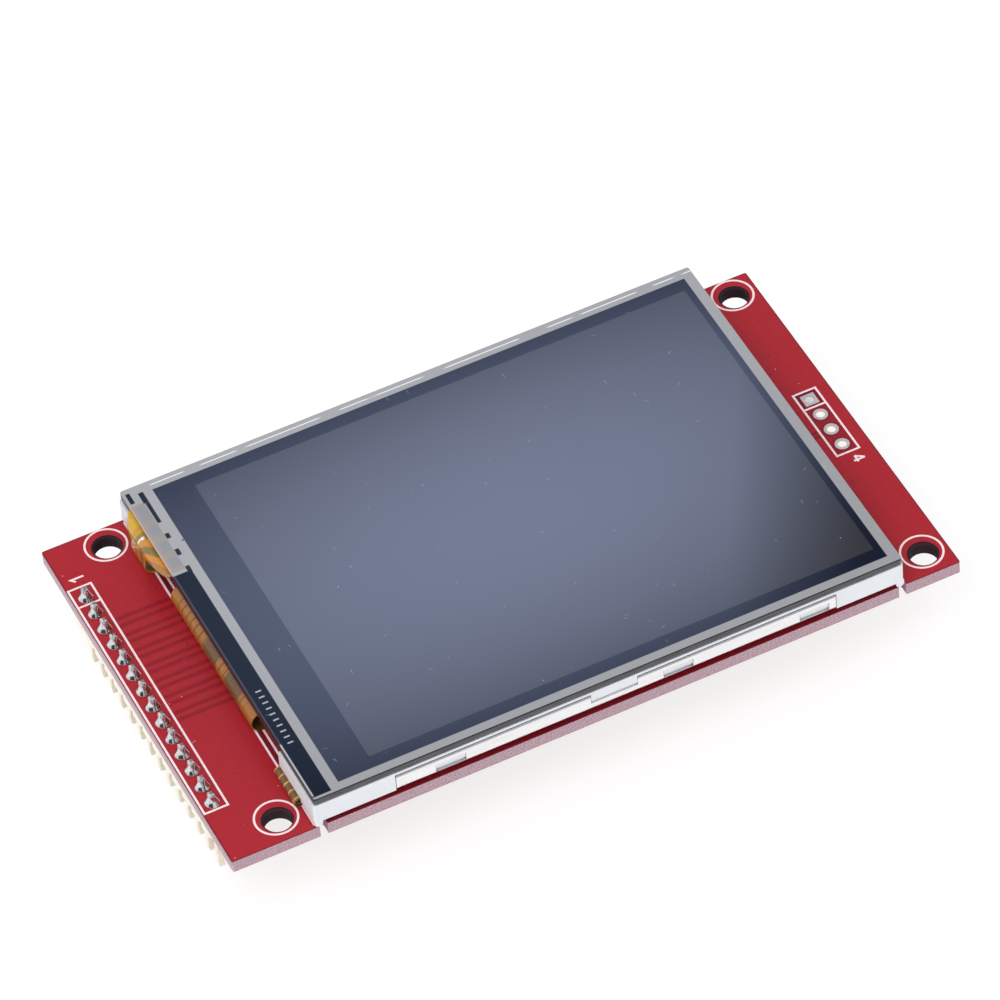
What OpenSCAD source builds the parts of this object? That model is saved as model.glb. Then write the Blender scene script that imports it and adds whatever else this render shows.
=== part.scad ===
// Touch display module: a 2.8 inch TFT panel on a red circuit board, with a
// 14-pin header under one end, four spare pads at the other end and a card
// socket on the underside. Millimetres. The origin is the centre of the four
// mounting holes on the board's upper face. +Z is out of the screen and +X
// runs from the header towards the four spare pads.

/* [Display panel] */
// Length of the touch panel and of the display under it
panel_l = 69.2; // [56:0.1:86]
// Width of the touch panel and of the display under it
panel_w = 50; // [47.8:0.1:62]
// Radius of the touch panel's corners
panel_r = 0.3; // [0.1:0.1:1]
// Thickness of the touch panel's glass
touch_glass_t = 0.65; // [0.4:0.05:1.2]
// Thickness of the adhesive ring between the touch glass and its film
spacer_t = 0.1; // [0.08:0.01:0.2]
// Width of that adhesive ring
spacer_w = 1.4; // [0.8:0.1:2]
// Thickness of the touch film
film_t = 0.15; // [0.1:0.05:0.4]
// Thickness of each of the display's two glasses
glass_t = 0.5; // [0.3:0.05:0.8]
// Thickness of each polarizer
polarizer_t = 0.15; // [0.1:0.01:0.3]
// Width of the rear glass's ledge that carries the driver chip
ledge_w = 3.6; // [3.2:0.1:6]
// Thickness of the tape between the display and the touch panel
gasket_t = 0.2; // [0.1:0.05:0.5]

/* [Backlight] */
// Thickness of the light guide
guide_t = 0.7; // [0.5:0.05:1.2]
// Thickness of the white reflector under the light guide
reflector_t = 0.1; // [0.05:0.01:0.2]
// Thickness of each diffuser and prism sheet
sheet_t = 0.08; // [0.05:0.01:0.15]
// Thickness of the black tape round the sheets
rim_t = 0.06; // [0.04:0.01:0.15]
// Width of the opening in that tape
rim_open_w = 44.4; // [36:0.1:45.4]
// Length of the bay that holds the lamps
lamp_bay = 2.6; // [2.2:0.1:4]
// Length of one lamp
lamp_l = 3.8; // [2:0.1:5]
// Number of lamps
lamps = 4; // [2:1:5]

/* [Frame and tray] */
// Thickness of the steel tray's sheet
tray_t = 0.2; // [0.15:0.01:0.3]
// Outer radius of the tray's folds
bend_r = 0.4; // [0.3:0.05:0.5]
// Thickness of the plastic frame's wall
frame_wall = 1; // [0.8:0.05:1.4]
// Width of the frame's inner ledge
frame_ledge = 0.8; // [0.5:0.05:1.2]
// How far the frame stands out past each end of the touch panel
frame_over = 0.2; // [0:0.05:0.4]
// Height of the frame's lip above the tray's walls
lip_h = 0.3; // [0.2:0.05:0.5]
// Distance from the header end of the panel to the tray's long walls
wall_near = 9.35; // [6:0.05:12]
// Distance from the far end of the panel to the tray's long walls
wall_far = 8; // [5:0.05:10]
// Width of each snap window
window_w = 3.55; // [2.5:0.05:4.5]
// Height of each snap window
window_h = 1.15; // [0.9:0.05:1.3]
// Length of the tray's end wall
end_wall = 32; // [20:0.5:36]
// Width of the locking notch in the top of each long wall
notch_w = 5.55; // [4:0.05:7]
// Depth of that notch
notch_h = 1.25; // [1:0.05:1.4]
// Width of the frame's corner pegs
peg_w = 0.95; // [0.7:0.05:1.2]
// Thickness of the foam tape between the board and the tray
tape_t = 0.7; // [0.5:0.05:1.5]

/* [Flexible circuits] */
// Thickness of the display's flexible circuit
flex_t = 0.12; // [0.08:0.01:0.15]
// Width of the display's flexible circuit
flex_w = 20.8; // [16:0.1:22]
// Offset of the display's flexible circuit from the middle
flex_y = 0.4; // [0:0.05:1.5]
// Thickness of the touch panel's tail and of the lamp strip
tail_t = 0.1; // [0.06:0.01:0.12]
// Width of the tail where it leaves the touch panel
tail_w = 11.1; // [9:0.1:12]
// Distance from the panel's side to the tail
tail_side = 2.8; // [2:0.1:4]
// How far the tail bulges past the panel
tail_out = 1.2; // [1.1:0.05:1.6]
// Width of the lamp strip's own tail
lamp_tail_w = 5.2; // [3:0.1:6]
// Distance from the panel's other side to the lamp tail
lamp_tail_side = 3.5; // [2:0.1:4.5]

/* [Board] */
// Thickness of the board
pcb_t = 1.6; // [1:0.1:2.4]
// Board left clear of the display at the header end
header_zone = 9.8; // [9:0.1:14]
// Board left clear of the display at the far end
far_zone = 7; // [6.5:0.1:12]
// Board left clear of the display along each side
side_zone = 0; // [0:0.1:5]
// Radius of the board's corners
pcb_r = 0.25; // [0.2:0.05:2]
// Diameter of the mounting holes
hole_d = 3.2; // [2:0.1:3.6]
// Distance from the header end to the nearer mounting holes
hole_edge_header = 6.6; // [5.6:0.1:7.4]
// Distance from the far end to the nearer mounting holes
hole_edge_far = 2.9; // [2.6:0.1:4]
// Distance from each side to the mounting holes
hole_edge_side = 2.9; // [2.6:0.1:4]
// Width of the locating slots in the board's sides
slot_w = 0.9; // [0.6:0.1:1.2]
// Depth of those slots
slot_d = 1.5; // [0.5:0.1:2]

/* [Pin header] */
// Number of pins
pins = 14; // [4:1:14]
// Distance from pin to pin
pitch = 2.54; // [2:0.01:2.54]
// Width of the square pins
pin_w = 0.64; // [0.5:0.01:0.64]
// Distance from the board's end to the row of pins
header_edge = 1.6; // [1.4:0.05:2]
// Height of the header's plastic body
header_h = 2.54; // [2:0.01:3]
// Length of the pins below the plastic body
pin_down = 6.1; // [3:0.1:12]
// Height of the pins above the board
pin_up = 1.55; // [1.3:0.05:2]
// Drill for the pins
pin_drill = 1; // [0.95:0.01:1.1]
// Diameter of the solder pads
pad_d = 1.65; // [1.4:0.05:1.8]
// Number of spare pads at the far end
spare_pads = 4; // [2:1:6]

/* [Card socket] */
// Length of the card socket
socket_l = 28; // [24:0.5:32]
// Width of the card socket
socket_w = 27; // [26:0.1:30]
// Height of the card socket
socket_h = 2.9; // [2.7:0.05:3.5]
// Thickness of its steel shell
shell_t = 0.25; // [0.15:0.01:0.3]
// Width of the slot for the card
card_w = 24.2; // [23:0.1:24.4]
// Distance from the board's far end to the socket's mouth
socket_edge = 5.2; // [4.5:0.1:10]

/* [Hidden] */
function pin_name(n) = str("header_pin_", n < 10 ? "0" : "", n);
$fn = 48;

// clearances
over = 0.5;          // cutters run this far past what they cut
snap_gap = 0.05;     // steel tray to plastic frame
glass_gap = 0.1;     // glass to the frame round it
sheet_gap = 0.15;    // light guide and sheets to the frame round them
flex_gap = 0.2;      // flexible circuits to the plastic beside them

// board
pcb_l = header_zone + panel_l + far_zone;
pcb_w = panel_w + 2 * side_zone;
hole_dx = pcb_l - hole_edge_header - hole_edge_far;
hole_dy = pcb_w - 2 * hole_edge_side;
pcb_x0 = -hole_dx / 2 - hole_edge_header;
pcb_x1 = pcb_x0 + pcb_l;
header_x = pcb_x0 + header_edge;
spare_x = hole_dx / 2;
spare_y = 0.33;      // the spare pads lie this far off the middle
ring_t = 0.05;       // copper and tin of a pad

// plan of the display
panel_x0 = pcb_x0 + header_zone;
panel_x1 = panel_x0 + panel_l;
side_y = panel_w / 2;
frame_x0 = panel_x0 - frame_over;
frame_x1 = panel_x1 + frame_over;
mid_x = (panel_x0 + panel_x1) / 2;
wall_x0 = panel_x0 + wall_near;
wall_x1 = panel_x1 - wall_far;

// levels from the board's upper face to the touch film
z_tray = tape_t;
z_plate = z_tray + tray_t;
z_guide = z_plate + reflector_t;
z_sheets = z_guide + guide_t;
z_rim = z_sheets + 3 * sheet_t;
z_rear_pol = z_rim + rim_t;
z_rear = z_rear_pol + polarizer_t;
z_front = z_rear + glass_t;
z_front_pol = z_front + glass_t;
z_frame = z_front_pol + polarizer_t;
z_touch = z_frame + gasket_t;
z_spacer = z_touch + touch_glass_t;
z_film = z_spacer + spacer_t;

// tray and frame
plate_inset = 1.3;                       // frame's foot outside the tray's plate
lip_gap = 0.15;
z_lip = z_frame - lip_h;
z_wall = z_lip - lip_gap;                // top of the tray's walls
recess_y = side_y - tray_t - snap_gap;   // frame's side behind a wall
recess_x = frame_x1 - tray_t - snap_gap; // frame's end behind the end wall
window_z = z_tray + 0.25;
notch_x = mid_x + 0.25 - notch_w / 2;
notch_z = z_wall - notch_h;
windows = [wall_x0 + 4.55, notch_x + notch_w + 3, wall_x1 - 0.8 - window_w];
end_windows = [-end_wall / 2 + 4, end_wall / 2 - 4 - window_w];
pocket_x0 = frame_x0 + frame_wall;
pocket_x1 = frame_x1 - frame_wall;
pocket_y = side_y - frame_wall;
open_x0 = pocket_x0 + frame_ledge;
open_x1 = pocket_x1 - frame_ledge;
open_y = pocket_y - frame_ledge;
ear_l = 3;                               // ears that locate the light guide
ear_w = 0.45;
ears = [open_x0 + 12, open_x1 - 12 - ear_l];

// display stack
guide_x0 = open_x0 + lamp_bay;
guide_x1 = open_x1 - sheet_gap;
guide_y = open_y - sheet_gap;
glass_x0 = pocket_x0 + glass_gap;
glass_x1 = pocket_x1 - glass_gap;
glass_y = pocket_y - glass_gap;
front_x0 = glass_x0 + ledge_w;
pol_inset = 0.3;
rim_x0 = guide_x0 + 2.4;
rim_x1 = guide_x1 - 1;
bond_w = 1.5;
chip_l = 18;
chip_w = 1.2;
chip_t = 0.3;
lamp_h = 0.6;
lamp_w = 1.9;

// flexible circuits
flex_y0 = flex_y - flex_w / 2;
flex_y1 = flex_y + flex_w / 2;
flex_cx = frame_x0 + 1;                  // centre of the display flex's fold
flex_ro = (z_front + flex_t) / 2;
flex_run = 10;
flex_pads = 18;
end_cut = 0.3;                           // the open end runs this far into the ledge
tail_y1 = side_y - tail_side;
tail_y0 = tail_y1 - tail_w;
tail_end_y = tail_y0 + 5.1;              // the tail's narrow end on the board
tail_end_w = 3.6;
tail_run = 3;
tail_bond = 1.65;
lamp_fold_x = frame_x0 - 0.15;
lamp_run = 4;
lamp_tail_y0 = lamp_tail_side - side_y;
lamp_tail_y1 = lamp_tail_y0 + lamp_tail_w;

// pin header and pads
pin_tip = 0.3;                           // length of a pin's tapered tip
solder_h = 1.1;
neck_r = 0.455;

// card socket and the parts near it
under = -pcb_t;
socket_x1 = pcb_x1 - socket_edge;
socket_x = socket_x1 - socket_l / 2;
contacts = 9;
contact_pitch = 2.5;
contact_w = 0.8;
contact_t = 0.15;
floor_t = 0.5;
block_l = 3;
shell_gap = 0.05;
mouth_l = 1;         // the shell runs this far past the rails
slot_l = 8;          // slots in the floor under the spring contacts
rail_y = socket_w / 2 - shell_t - shell_gap;
rail_h = socket_h - shell_t - shell_gap;
foot_l = 1.8;
foot_w = 1;

// parts on the underside, counted from the header end: [x, y, turn]
resistor_at = [[9, -18, 0], [9, -15.8, 0], [9, -13.6, 0], [14, 18, 90], [16.4, 18, 90],
    [18.8, 18, 90], [21.2, 18, 90], [25, -20, 0], [29, -20, 0]];
capacitor_at = [[14, -8.5, 90], [19.6, -8.5, 90], [26.5, 1, 90], [26.5, 7.4, 90],
    [13.2, 3.8, 90]];
controller_at = [20, 4, 0];
regulator_at = [16.8, -14, 0];
transistor_at = [24.5, -13, 0];
chip_l2 = 1.6;       // length of a chip resistor or capacitor
chip_w2 = 0.8;
cap_end = 0.3;       // length of its tinned ends
resistor_h = 0.45;
capacitor_h = 0.8;

module block(x0, x1, y0, y1, z0, z1) {
    translate([x0, y0, z0]) cube([x1 - x0, y1 - y0, z1 - z0]);
}

module outline(x0, x1, y0, y1, r) {
    translate([x0 + r, y0]) square([x1 - x0 - 2 * r, y1 - y0]);
    translate([x0, y0 + r]) square([x1 - x0, y1 - y0 - 2 * r]);
    for (x = [x0 + r, x1 - r], y = [y0 + r, y1 - r]) translate([x, y]) circle(r);
}

module slab(x0, x1, half_w, z, t, r) {
    translate([0, 0, z]) linear_extrude(t) outline(x0, x1, -half_w, half_w, r);
}

module both_sides() {
    children();
    mirror([0, 1, 0]) children();
}

// an outline drawn in X and Z, run along Y
module along_y(y0, y1) {
    translate([0, y1, 0]) rotate([90, 0, 0]) linear_extrude(y1 - y0) children();
}

// an outline drawn in Y and Z, run along X
module along_x(x0, x1) {
    translate([x0, 0, 0]) rotate([90, 0, 90]) linear_extrude(x1 - x0) children();
}

// quarter of a ring with its corner at the origin, on the side given by the signs
module quarter_ring(r_out, r_in, sx, sy) {
    intersection() {
        difference() {
            circle(r_out);
            circle(r_in);
        }
        translate([sx < 0 ? -r_out : 0, sy < 0 ? -r_out : 0]) square(r_out);
    }
}

// ---- board, header and spare pads

function pin_y(n) = (pins + 1 - 2 * n) / 2 * pitch;
function spare_pad_y(n) = spare_y + (spare_pads + 1 - 2 * n) / 2 * pitch;

module side_slot(x) {
    both_sides() translate([x, pcb_w / 2 - slot_d + slot_w / 2, -pcb_t - over]) {
        cylinder(d = slot_w, h = pcb_t + 2 * over);
        translate([-slot_w / 2, 0, 0]) cube([slot_w, slot_d, pcb_t + 2 * over]);
    }
}

module board() {
    color("firebrick") difference() {
        slab(pcb_x0, pcb_x1, pcb_w / 2, -pcb_t, pcb_t, pcb_r);
        for (x = [-1, 1] * hole_dx / 2, y = [-1, 1] * hole_dy / 2)
            translate([x, y, -pcb_t - over]) cylinder(d = hole_d, h = pcb_t + 2 * over);
        for (n = [1:pins]) translate([header_x, pin_y(n), -pcb_t - over])
            cylinder(d = pin_drill, h = pcb_t + 2 * over);
        for (n = [1:spare_pads]) translate([spare_x, spare_pad_y(n), -pcb_t - over])
            cylinder(d = pin_drill, h = pcb_t + 2 * over);
        side_slot(panel_x0 + 0.75);
        side_slot(panel_x1);
    }
}

module header_body() {
    c = pitch / 6;
    h = pitch / 2;
    color("khaki") difference() {
        translate([header_x, 0, -pcb_t - header_h]) linear_extrude(header_h)
            for (n = [1:pins]) translate([0, pin_y(n)])
                polygon([[-h, -h + c], [-h + c, -h], [h - c, -h], [h, -h + c],
                    [h, h - c], [h - c, h], [-h + c, h], [-h, h - c]]);
        for (n = [1:pins]) translate([header_x, pin_y(n), -pcb_t - header_h / 2])
            cube([pin_w, pin_w, header_h + 2 * over], center = true);
    }
}

// side view of a square pin with both tips tapered
module pin_side() {
    w = pin_w / 2;
    low = -pcb_t - header_h - pin_down;
    polygon([[-w / 2, low], [w / 2, low], [w, low + pin_tip], [w, pin_up - pin_tip / 2],
        [w / 2, pin_up], [-w / 2, pin_up], [-w, pin_up - pin_tip / 2], [-w, low + pin_tip]]);
}

module header_pin(n) {
    color("gold") translate([header_x, pin_y(n), 0]) intersection() {
        along_y(-pin_w / 2, pin_w / 2) pin_side();
        along_x(-pin_w / 2, pin_w / 2) pin_side();
    }
}

// half outline of a solder joint: pad, hollow cone up the pin and fill of the hole
function joint_side(steps = 6) = concat(
    [[0, -pcb_t], [pin_drill / 2, -pcb_t], [pin_drill / 2, 0], [pad_d / 2, 0],
     [pad_d / 2, ring_t]],
    [for (i = [0:steps]) let (a = 90 * i / steps)
        [neck_r + (pad_d / 2 - 0.06 - neck_r) * (1 - sin(a)),
         ring_t + 0.05 + (solder_h - ring_t) * (1 - cos(a))]],
    [[0, solder_h + 0.05]]);

module header_solder() {
    color("silver") for (n = [1:pins]) translate([header_x, pin_y(n), 0]) difference() {
        union() {
            rotate_extrude() polygon(joint_side());
            if (n == 1) translate([-pad_d / 2, -pad_d / 2, 0]) cube([pad_d, pad_d, ring_t]);
        }
        translate([0, 0, -pcb_t - over])
            translate([-pin_w / 2, -pin_w / 2, 0]) cube([pin_w, pin_w, pcb_t + solder_h + 3 * over]);
    }
}

module spare_pad_rings() {
    color("silver") for (n = [1:spare_pads], z = [0, -pcb_t - ring_t])
        translate([spare_x, spare_pad_y(n), z]) difference() {
            if (n == 1) translate([-pad_d / 2, -pad_d / 2, 0]) cube([pad_d, pad_d, ring_t]);
            else cylinder(d = pad_d, h = ring_t);
            translate([0, 0, -over]) cylinder(d = pin_drill, h = ring_t + 2 * over);
        }
}

module mounting_tape() {
    color("white") slab(flex_cx + flex_run + 3, panel_x1 - 6, side_y - 5, 0, tape_t, 0.5);
}

// ---- steel tray and plastic frame that snap together

// outline of the tray's plate, grown by g
module tray_outline(g = 0) {
    x0 = frame_x0 + plate_inset - g;
    x1 = frame_x1 - plate_inset + g;
    y = side_y - plate_inset + g;
    translate([x0, -y]) square([x1 - x0, 2 * y]);
    translate([wall_x0 - g, -side_y]) square([wall_x1 - wall_x0 + 2 * g, panel_w]);
    translate([mid_x, -end_wall / 2 - g]) square([frame_x1 - mid_x, end_wall + 2 * g]);
}

// section of a folded wall, standing on the origin with its plate towards +X
module folded_wall() {
    translate([0, bend_r]) square([tray_t, z_wall - z_tray - bend_r]);
    translate([bend_r, 0]) square([plate_inset, tray_t]);
    translate([bend_r, bend_r]) quarter_ring(bend_r, bend_r - tray_t, -1, -1);
}

module metal_tray() {
    color("lightgray") difference() {
        union() {
            translate([0, 0, z_tray]) linear_extrude(tray_t) difference() {
                tray_outline();
                both_sides() translate([wall_x0 - over, side_y - bend_r])
                    square([wall_x1 - wall_x0 + 2 * over, bend_r + over]);
                translate([frame_x1 - bend_r, -end_wall / 2 - over])
                    square([bend_r + over, end_wall + 2 * over]);
            }
            both_sides() translate([0, -side_y, z_tray]) along_x(wall_x0, wall_x1) folded_wall();
            translate([frame_x1, 0, z_tray]) mirror([1, 0, 0])
                along_y(-end_wall / 2, end_wall / 2) folded_wall();
        }
        both_sides() {
            for (x = windows)
                block(x, x + window_w, -side_y - over, -side_y + bend_r,
                    window_z, window_z + window_h);
            block(notch_x, notch_x + notch_w, -side_y - over, -side_y + bend_r,
                notch_z, z_wall + over);
        }
        for (y = end_windows)
            block(frame_x1 - bend_r, frame_x1 + over, y, y + window_w,
                window_z, window_z + window_h);
    }
}

// snap tooth that fills the upper part of a window, drawn for a wall that faces -Y
module tooth(w) {
    d = tray_t + snap_gap;
    z0 = window_z + 0.4;
    z1 = window_z + window_h - snap_gap;
    along_x(snap_gap, w - snap_gap)
        polygon([[d, z0], [snap_gap, z0 + 0.3], [snap_gap, z1], [d, z1]]);
}

// locking block that drops into a wall's notch
module lock_block() {
    block(notch_x + snap_gap, notch_x + notch_w - snap_gap, -side_y, -recess_y,
        notch_z + 0.4, z_lip);
}

module peg(x) {
    r = peg_w / 2;
    translate([x, 0, 0]) along_y(-side_y, -side_y + 1) {
        translate([0, r]) square([peg_w, z_tray - r + 0.2]);
        translate([r, r]) circle(r);
    }
}

// room for the tray: its plate, its walls and its folds
module tray_room() {
    relief = bend_r - tray_t + snap_gap;
    translate([0, 0, z_tray - over]) linear_extrude(tray_t + over) tray_outline(glass_gap);
    both_sides() {
        block(wall_x0 - glass_gap, wall_x1 + glass_gap, -side_y - over, -recess_y,
            z_tray - over, z_lip);
        block(wall_x0 - glass_gap, wall_x1 + glass_gap, -recess_y - over, -recess_y + relief,
            z_tray - over, z_plate + relief);
    }
    block(recess_x, frame_x1 + over, -end_wall / 2 - glass_gap, end_wall / 2 + glass_gap,
        z_tray - over, z_lip);
    block(recess_x - relief, recess_x + over, -end_wall / 2 - glass_gap,
        end_wall / 2 + glass_gap, z_tray - over, z_plate + relief);
}

// room for what the frame holds: lamps, guide, sheets and glass
module stack_room() {
    block(open_x0, open_x1, -open_y, open_y, z_tray - over, z_frame + over);
    block(pocket_x0, pocket_x1, -pocket_y, pocket_y, z_rim, z_frame + over);
    both_sides() for (x = ears)
        block(x - sheet_gap, x + ear_l + sheet_gap, open_y - over, guide_y + ear_w + sheet_gap,
            z_plate - over, z_frame);
}

// the open end where the flexible circuits leave, and the lamp tail's slot beside it
module flex_room() {
    block(frame_x0 - over, pocket_x0 + end_cut, lamp_tail_y1, tail_y1 + flex_gap,
        z_tray - over, z_frame + over);
    block(frame_x0 - over, open_x0 + over, lamp_tail_y0 - flex_gap, lamp_tail_y1 + flex_gap,
        z_guide - snap_gap, z_guide + tail_t + snap_gap);
}

module backlight_frame() {
    color("whitesmoke") {
        difference() {
            slab(frame_x0, frame_x1, side_y, z_tray, z_frame - z_tray, panel_r);
            tray_room();
            stack_room();
            flex_room();
        }
        both_sides() {
            for (x = windows) translate([x, -side_y, 0]) tooth(window_w);
            lock_block();
            peg(frame_x0);
            peg(frame_x1 - peg_w);
        }
        for (y = end_windows) translate([frame_x1, y, 0]) rotate([0, 0, 90]) tooth(window_w);
    }
}

// ---- backlight

module reflector_sheet() {
    color("white")
        slab(open_x0 + sheet_gap, open_x1 - sheet_gap, guide_y, z_plate, reflector_t, panel_r);
}

module light_guide() {
    color("azure", 0.6) {
        slab(guide_x0, guide_x1, guide_y, z_guide, guide_t, panel_r);
        both_sides() for (x = ears)
            block(x, x + ear_l, guide_y - over, guide_y + ear_w, z_guide, z_guide + guide_t);
    }
}

function lamp_y(n) = (2 * n - lamps - 1) / 2 * (2 * guide_y - 4) / lamps;

module backlight_leds() {
    x0 = guide_x0 - sheet_gap - lamp_w;
    z0 = z_guide + tail_t;
    color("ivory") for (n = [1:lamps]) translate([0, lamp_y(n), 0]) difference() {
        block(x0, x0 + lamp_w, -lamp_l / 2, lamp_l / 2, z0, z0 + min(lamp_h, guide_t - tail_t));
        block(x0 + lamp_w - 0.5, x0 + lamp_w + over, -lamp_l / 2 + 0.4, lamp_l / 2 - 0.4,
            z0 + 0.12, z0 + 0.42);
    }
}

// strip under the lamps, with a tail that leaves the frame and folds down to the board
module backlight_flex() {
    top = z_guide + tail_t;
    r = top / 2;
    y0 = lamp_tail_y0;
    y1 = lamp_tail_y1;
    color("peru") {
        block(open_x0 + sheet_gap, guide_x0 - sheet_gap, -guide_y, guide_y, z_guide, top);
        block(lamp_fold_x, open_x0 + sheet_gap, y0, y1, z_guide, top);
        along_y(y0, y1) translate([lamp_fold_x, r]) {
            quarter_ring(r, r - tail_t, -1, 1);
            quarter_ring(r, r - tail_t, -1, -1);
        }
        block(lamp_fold_x, lamp_fold_x + lamp_run, y0, y1, 0, tail_t);
    }
}

module optical_sheet(layer) {
    slab(guide_x0 + sheet_gap, guide_x1, guide_y, z_sheets + layer * sheet_t, sheet_t, panel_r);
}

module diffuser_sheet() color("white", 0.8) optical_sheet(0);

module prism_sheet_lower() color("lightcyan", 0.6) optical_sheet(1);

module prism_sheet_upper() color("lightcyan", 0.6) optical_sheet(2);

module rim_tape() {
    color("black") difference() {
        slab(glass_x0, glass_x1, glass_y, z_rim, rim_t, panel_r);
        block(rim_x0, rim_x1, -rim_open_w / 2, rim_open_w / 2, z_rim - over, z_rim + over);
    }
}

// ---- display glass

module rear_polarizer() {
    color("dimgray")
        slab(front_x0 + pol_inset, glass_x1 - pol_inset, glass_y - pol_inset,
            z_rear_pol, polarizer_t, panel_r);
}

module rear_glass() color("lightblue", 0.6) slab(glass_x0, glass_x1, glass_y, z_rear, glass_t, 0.1);

module front_glass() color("lightblue", 0.6) slab(front_x0, glass_x1, glass_y, z_front, glass_t, 0.1);

module front_polarizer() {
    color("darkslategray")
        slab(front_x0 + pol_inset, glass_x1 - pol_inset, glass_y - pol_inset,
            z_front_pol, polarizer_t, panel_r);
}

module driver_chip() {
    x0 = front_x0 - 0.4 - chip_w;
    color("darkgray") block(x0, x0 + chip_w, -chip_l / 2, chip_l / 2, z_front, z_front + chip_t);
}

// bonded to the rear glass's ledge, folded round the end and down onto the board
module display_flex() {
    color("darkgoldenrod") along_y(flex_y0, flex_y1) {
        translate([flex_cx, z_front]) square([glass_x0 + bond_w - flex_cx, flex_t]);
        translate([flex_cx, flex_ro]) {
            quarter_ring(flex_ro, flex_ro - flex_t, -1, 1);
            quarter_ring(flex_ro, flex_ro - flex_t, -1, -1);
        }
        translate([flex_cx, 0]) square([flex_run, flex_t]);
    }
}

module flex_solder() {
    step = flex_w / (flex_pads + 1);
    color("silver") for (n = [1:flex_pads])
        translate([flex_cx + flex_run, flex_y0 + n * step - step / 4, 0])
            rotate([90, 0, 90]) linear_extrude(0.8)
                polygon([[0, 0], [step / 2, 0], [step / 2, flex_t], [step / 4, flex_t + 0.1],
                    [0, flex_t]]);
}

module panel_gasket() {
    color("gray") difference() {
        slab(panel_x0 + 0.3, panel_x1 - 0.3, side_y - 0.3, z_frame, gasket_t, 0.2);
        block(panel_x0 + 1.7, panel_x1 - 1.7, -side_y + 1.7, side_y - 1.7,
            z_frame - over, z_frame + gasket_t + over);
    }
}

// ---- touch panel

module touch_glass() {
    color("lightsteelblue", 0.7)
        slab(panel_x0, panel_x1, side_y, z_touch, touch_glass_t, panel_r);
}

module touch_spacer() {
    color("silver") difference() {
        slab(panel_x0, panel_x1, side_y, z_spacer, spacer_t, panel_r);
        block(panel_x0 + spacer_w, panel_x1 - spacer_w, -side_y + spacer_w, side_y - spacer_w,
            z_spacer - over, z_spacer + spacer_t + over);
        block(panel_x0 - over, panel_x0 + tail_bond + 0.1, tail_y0 - 0.1, tail_y1 + 0.1,
            z_spacer - over, z_spacer + spacer_t + over);
    }
}

module touch_film() {
    color("slategray") slab(panel_x0, panel_x1, side_y, z_film, film_t, panel_r);
}

// bonded on the touch glass, bulging past the end and narrowing down to the board
module touch_tail() {
    top = z_spacer + tail_t;
    r = tail_out;
    y0 = tail_y0;
    y1 = tail_y1;
    color("orange") intersection() {
        along_y(y0, y1) {
            translate([panel_x0, z_spacer]) square([tail_bond, tail_t]);
            translate([panel_x0, top - r]) quarter_ring(r, r - tail_t, -1, 1);
            translate([panel_x0 - r, r]) square([tail_t, top - 2 * r]);
            translate([panel_x0, r]) quarter_ring(r, r - tail_t, -1, -1);
            translate([panel_x0, 0]) square([tail_run, tail_t]);
        }
        along_x(panel_x0 - 2 * r, panel_x0 + 2 * tail_run)
            polygon([[y0, top + over], [y0, top - 0.15], [y0 + 2.9, top - 0.95],
                [tail_end_y - 0.3, r + 0.4], [tail_end_y, -over],
                [tail_end_y + tail_end_w, -over], [tail_end_y + tail_end_w, r + 0.8],
                [y1 - 1.6, top - 0.95],
                [y1, top - 0.2], [y1, top + over]]);
    }
}

// ---- underside

// places a part drawn standing on the board's upper face under the board
module below(x, y, turn = 0) {
    translate([x, y, under]) rotate([180, 0, turn]) children();
}

module below_header_end(p) below(pcb_x0 + p[0], p[1], p[2]) children();

module card_socket_shell() {
    l = socket_l / 2;
    w = socket_w / 2;
    color("silver") below(socket_x, 0) difference() {
        union() {
            block(-l, l, -w, w, 0, socket_h);
            for (x = [-l + 2, l - 2 - foot_l])
                block(x, x + foot_l, -w - foot_w, w + foot_w, 0, shell_t);
        }
        block(-l - over, l + over, -w + shell_t, w - shell_t, -over, socket_h - shell_t);
        block(-l + 5, -l + 9, -w + 4, w - 4, 0, socket_h + over);
        for (y = [-w + 5, w - 8.2]) {
            for (dy = [0, 2.6]) block(-l + 13, l - 6, y + dy, y + dy + 0.6, 0, socket_h + over);
            block(-l + 13, -l + 13.6, y, y + 3.2, 0, socket_h + over);
        }
        translate([l + 1, 0, 0]) cylinder(r = 5, h = socket_h + over);
        for (x = [-l + 10, l - 9]) block(x, x + 2.4, -w - over, w + over, 0.9, 1.9);
    }
}

function contact_y(n) = (2 * n - contacts - 1) / 2 * contact_pitch;

// side view of one spring contact, from its solder foot to its raised tip
function contact_side() = let (l = socket_l / 2, t = contact_t, b = -l + block_l,
        top = floor_t + 1)
    [[-l - 1, 0], [b + 1, 0], [b + 6, top], [b + 7, top - 0.6], [b + 7, top - 0.6 + t],
     [b + 6, top + 2 * t], [b + 1, t], [-l - 1, t]];

// rear block of the socket, which holds the contacts and carries the shell's end
module card_socket_body() {
    l = socket_l / 2;
    color([0.13, 0.13, 0.14]) below(socket_x, 0) difference() {
        block(-l, -l + block_l, -rail_y, rail_y, 0, rail_h);
        for (n = [1:contacts]) translate([0, contact_y(n), 0])
            block(-l - over, -l + block_l + over, -contact_w / 2, contact_w / 2,
                -over, contact_t);
    }
}

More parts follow.
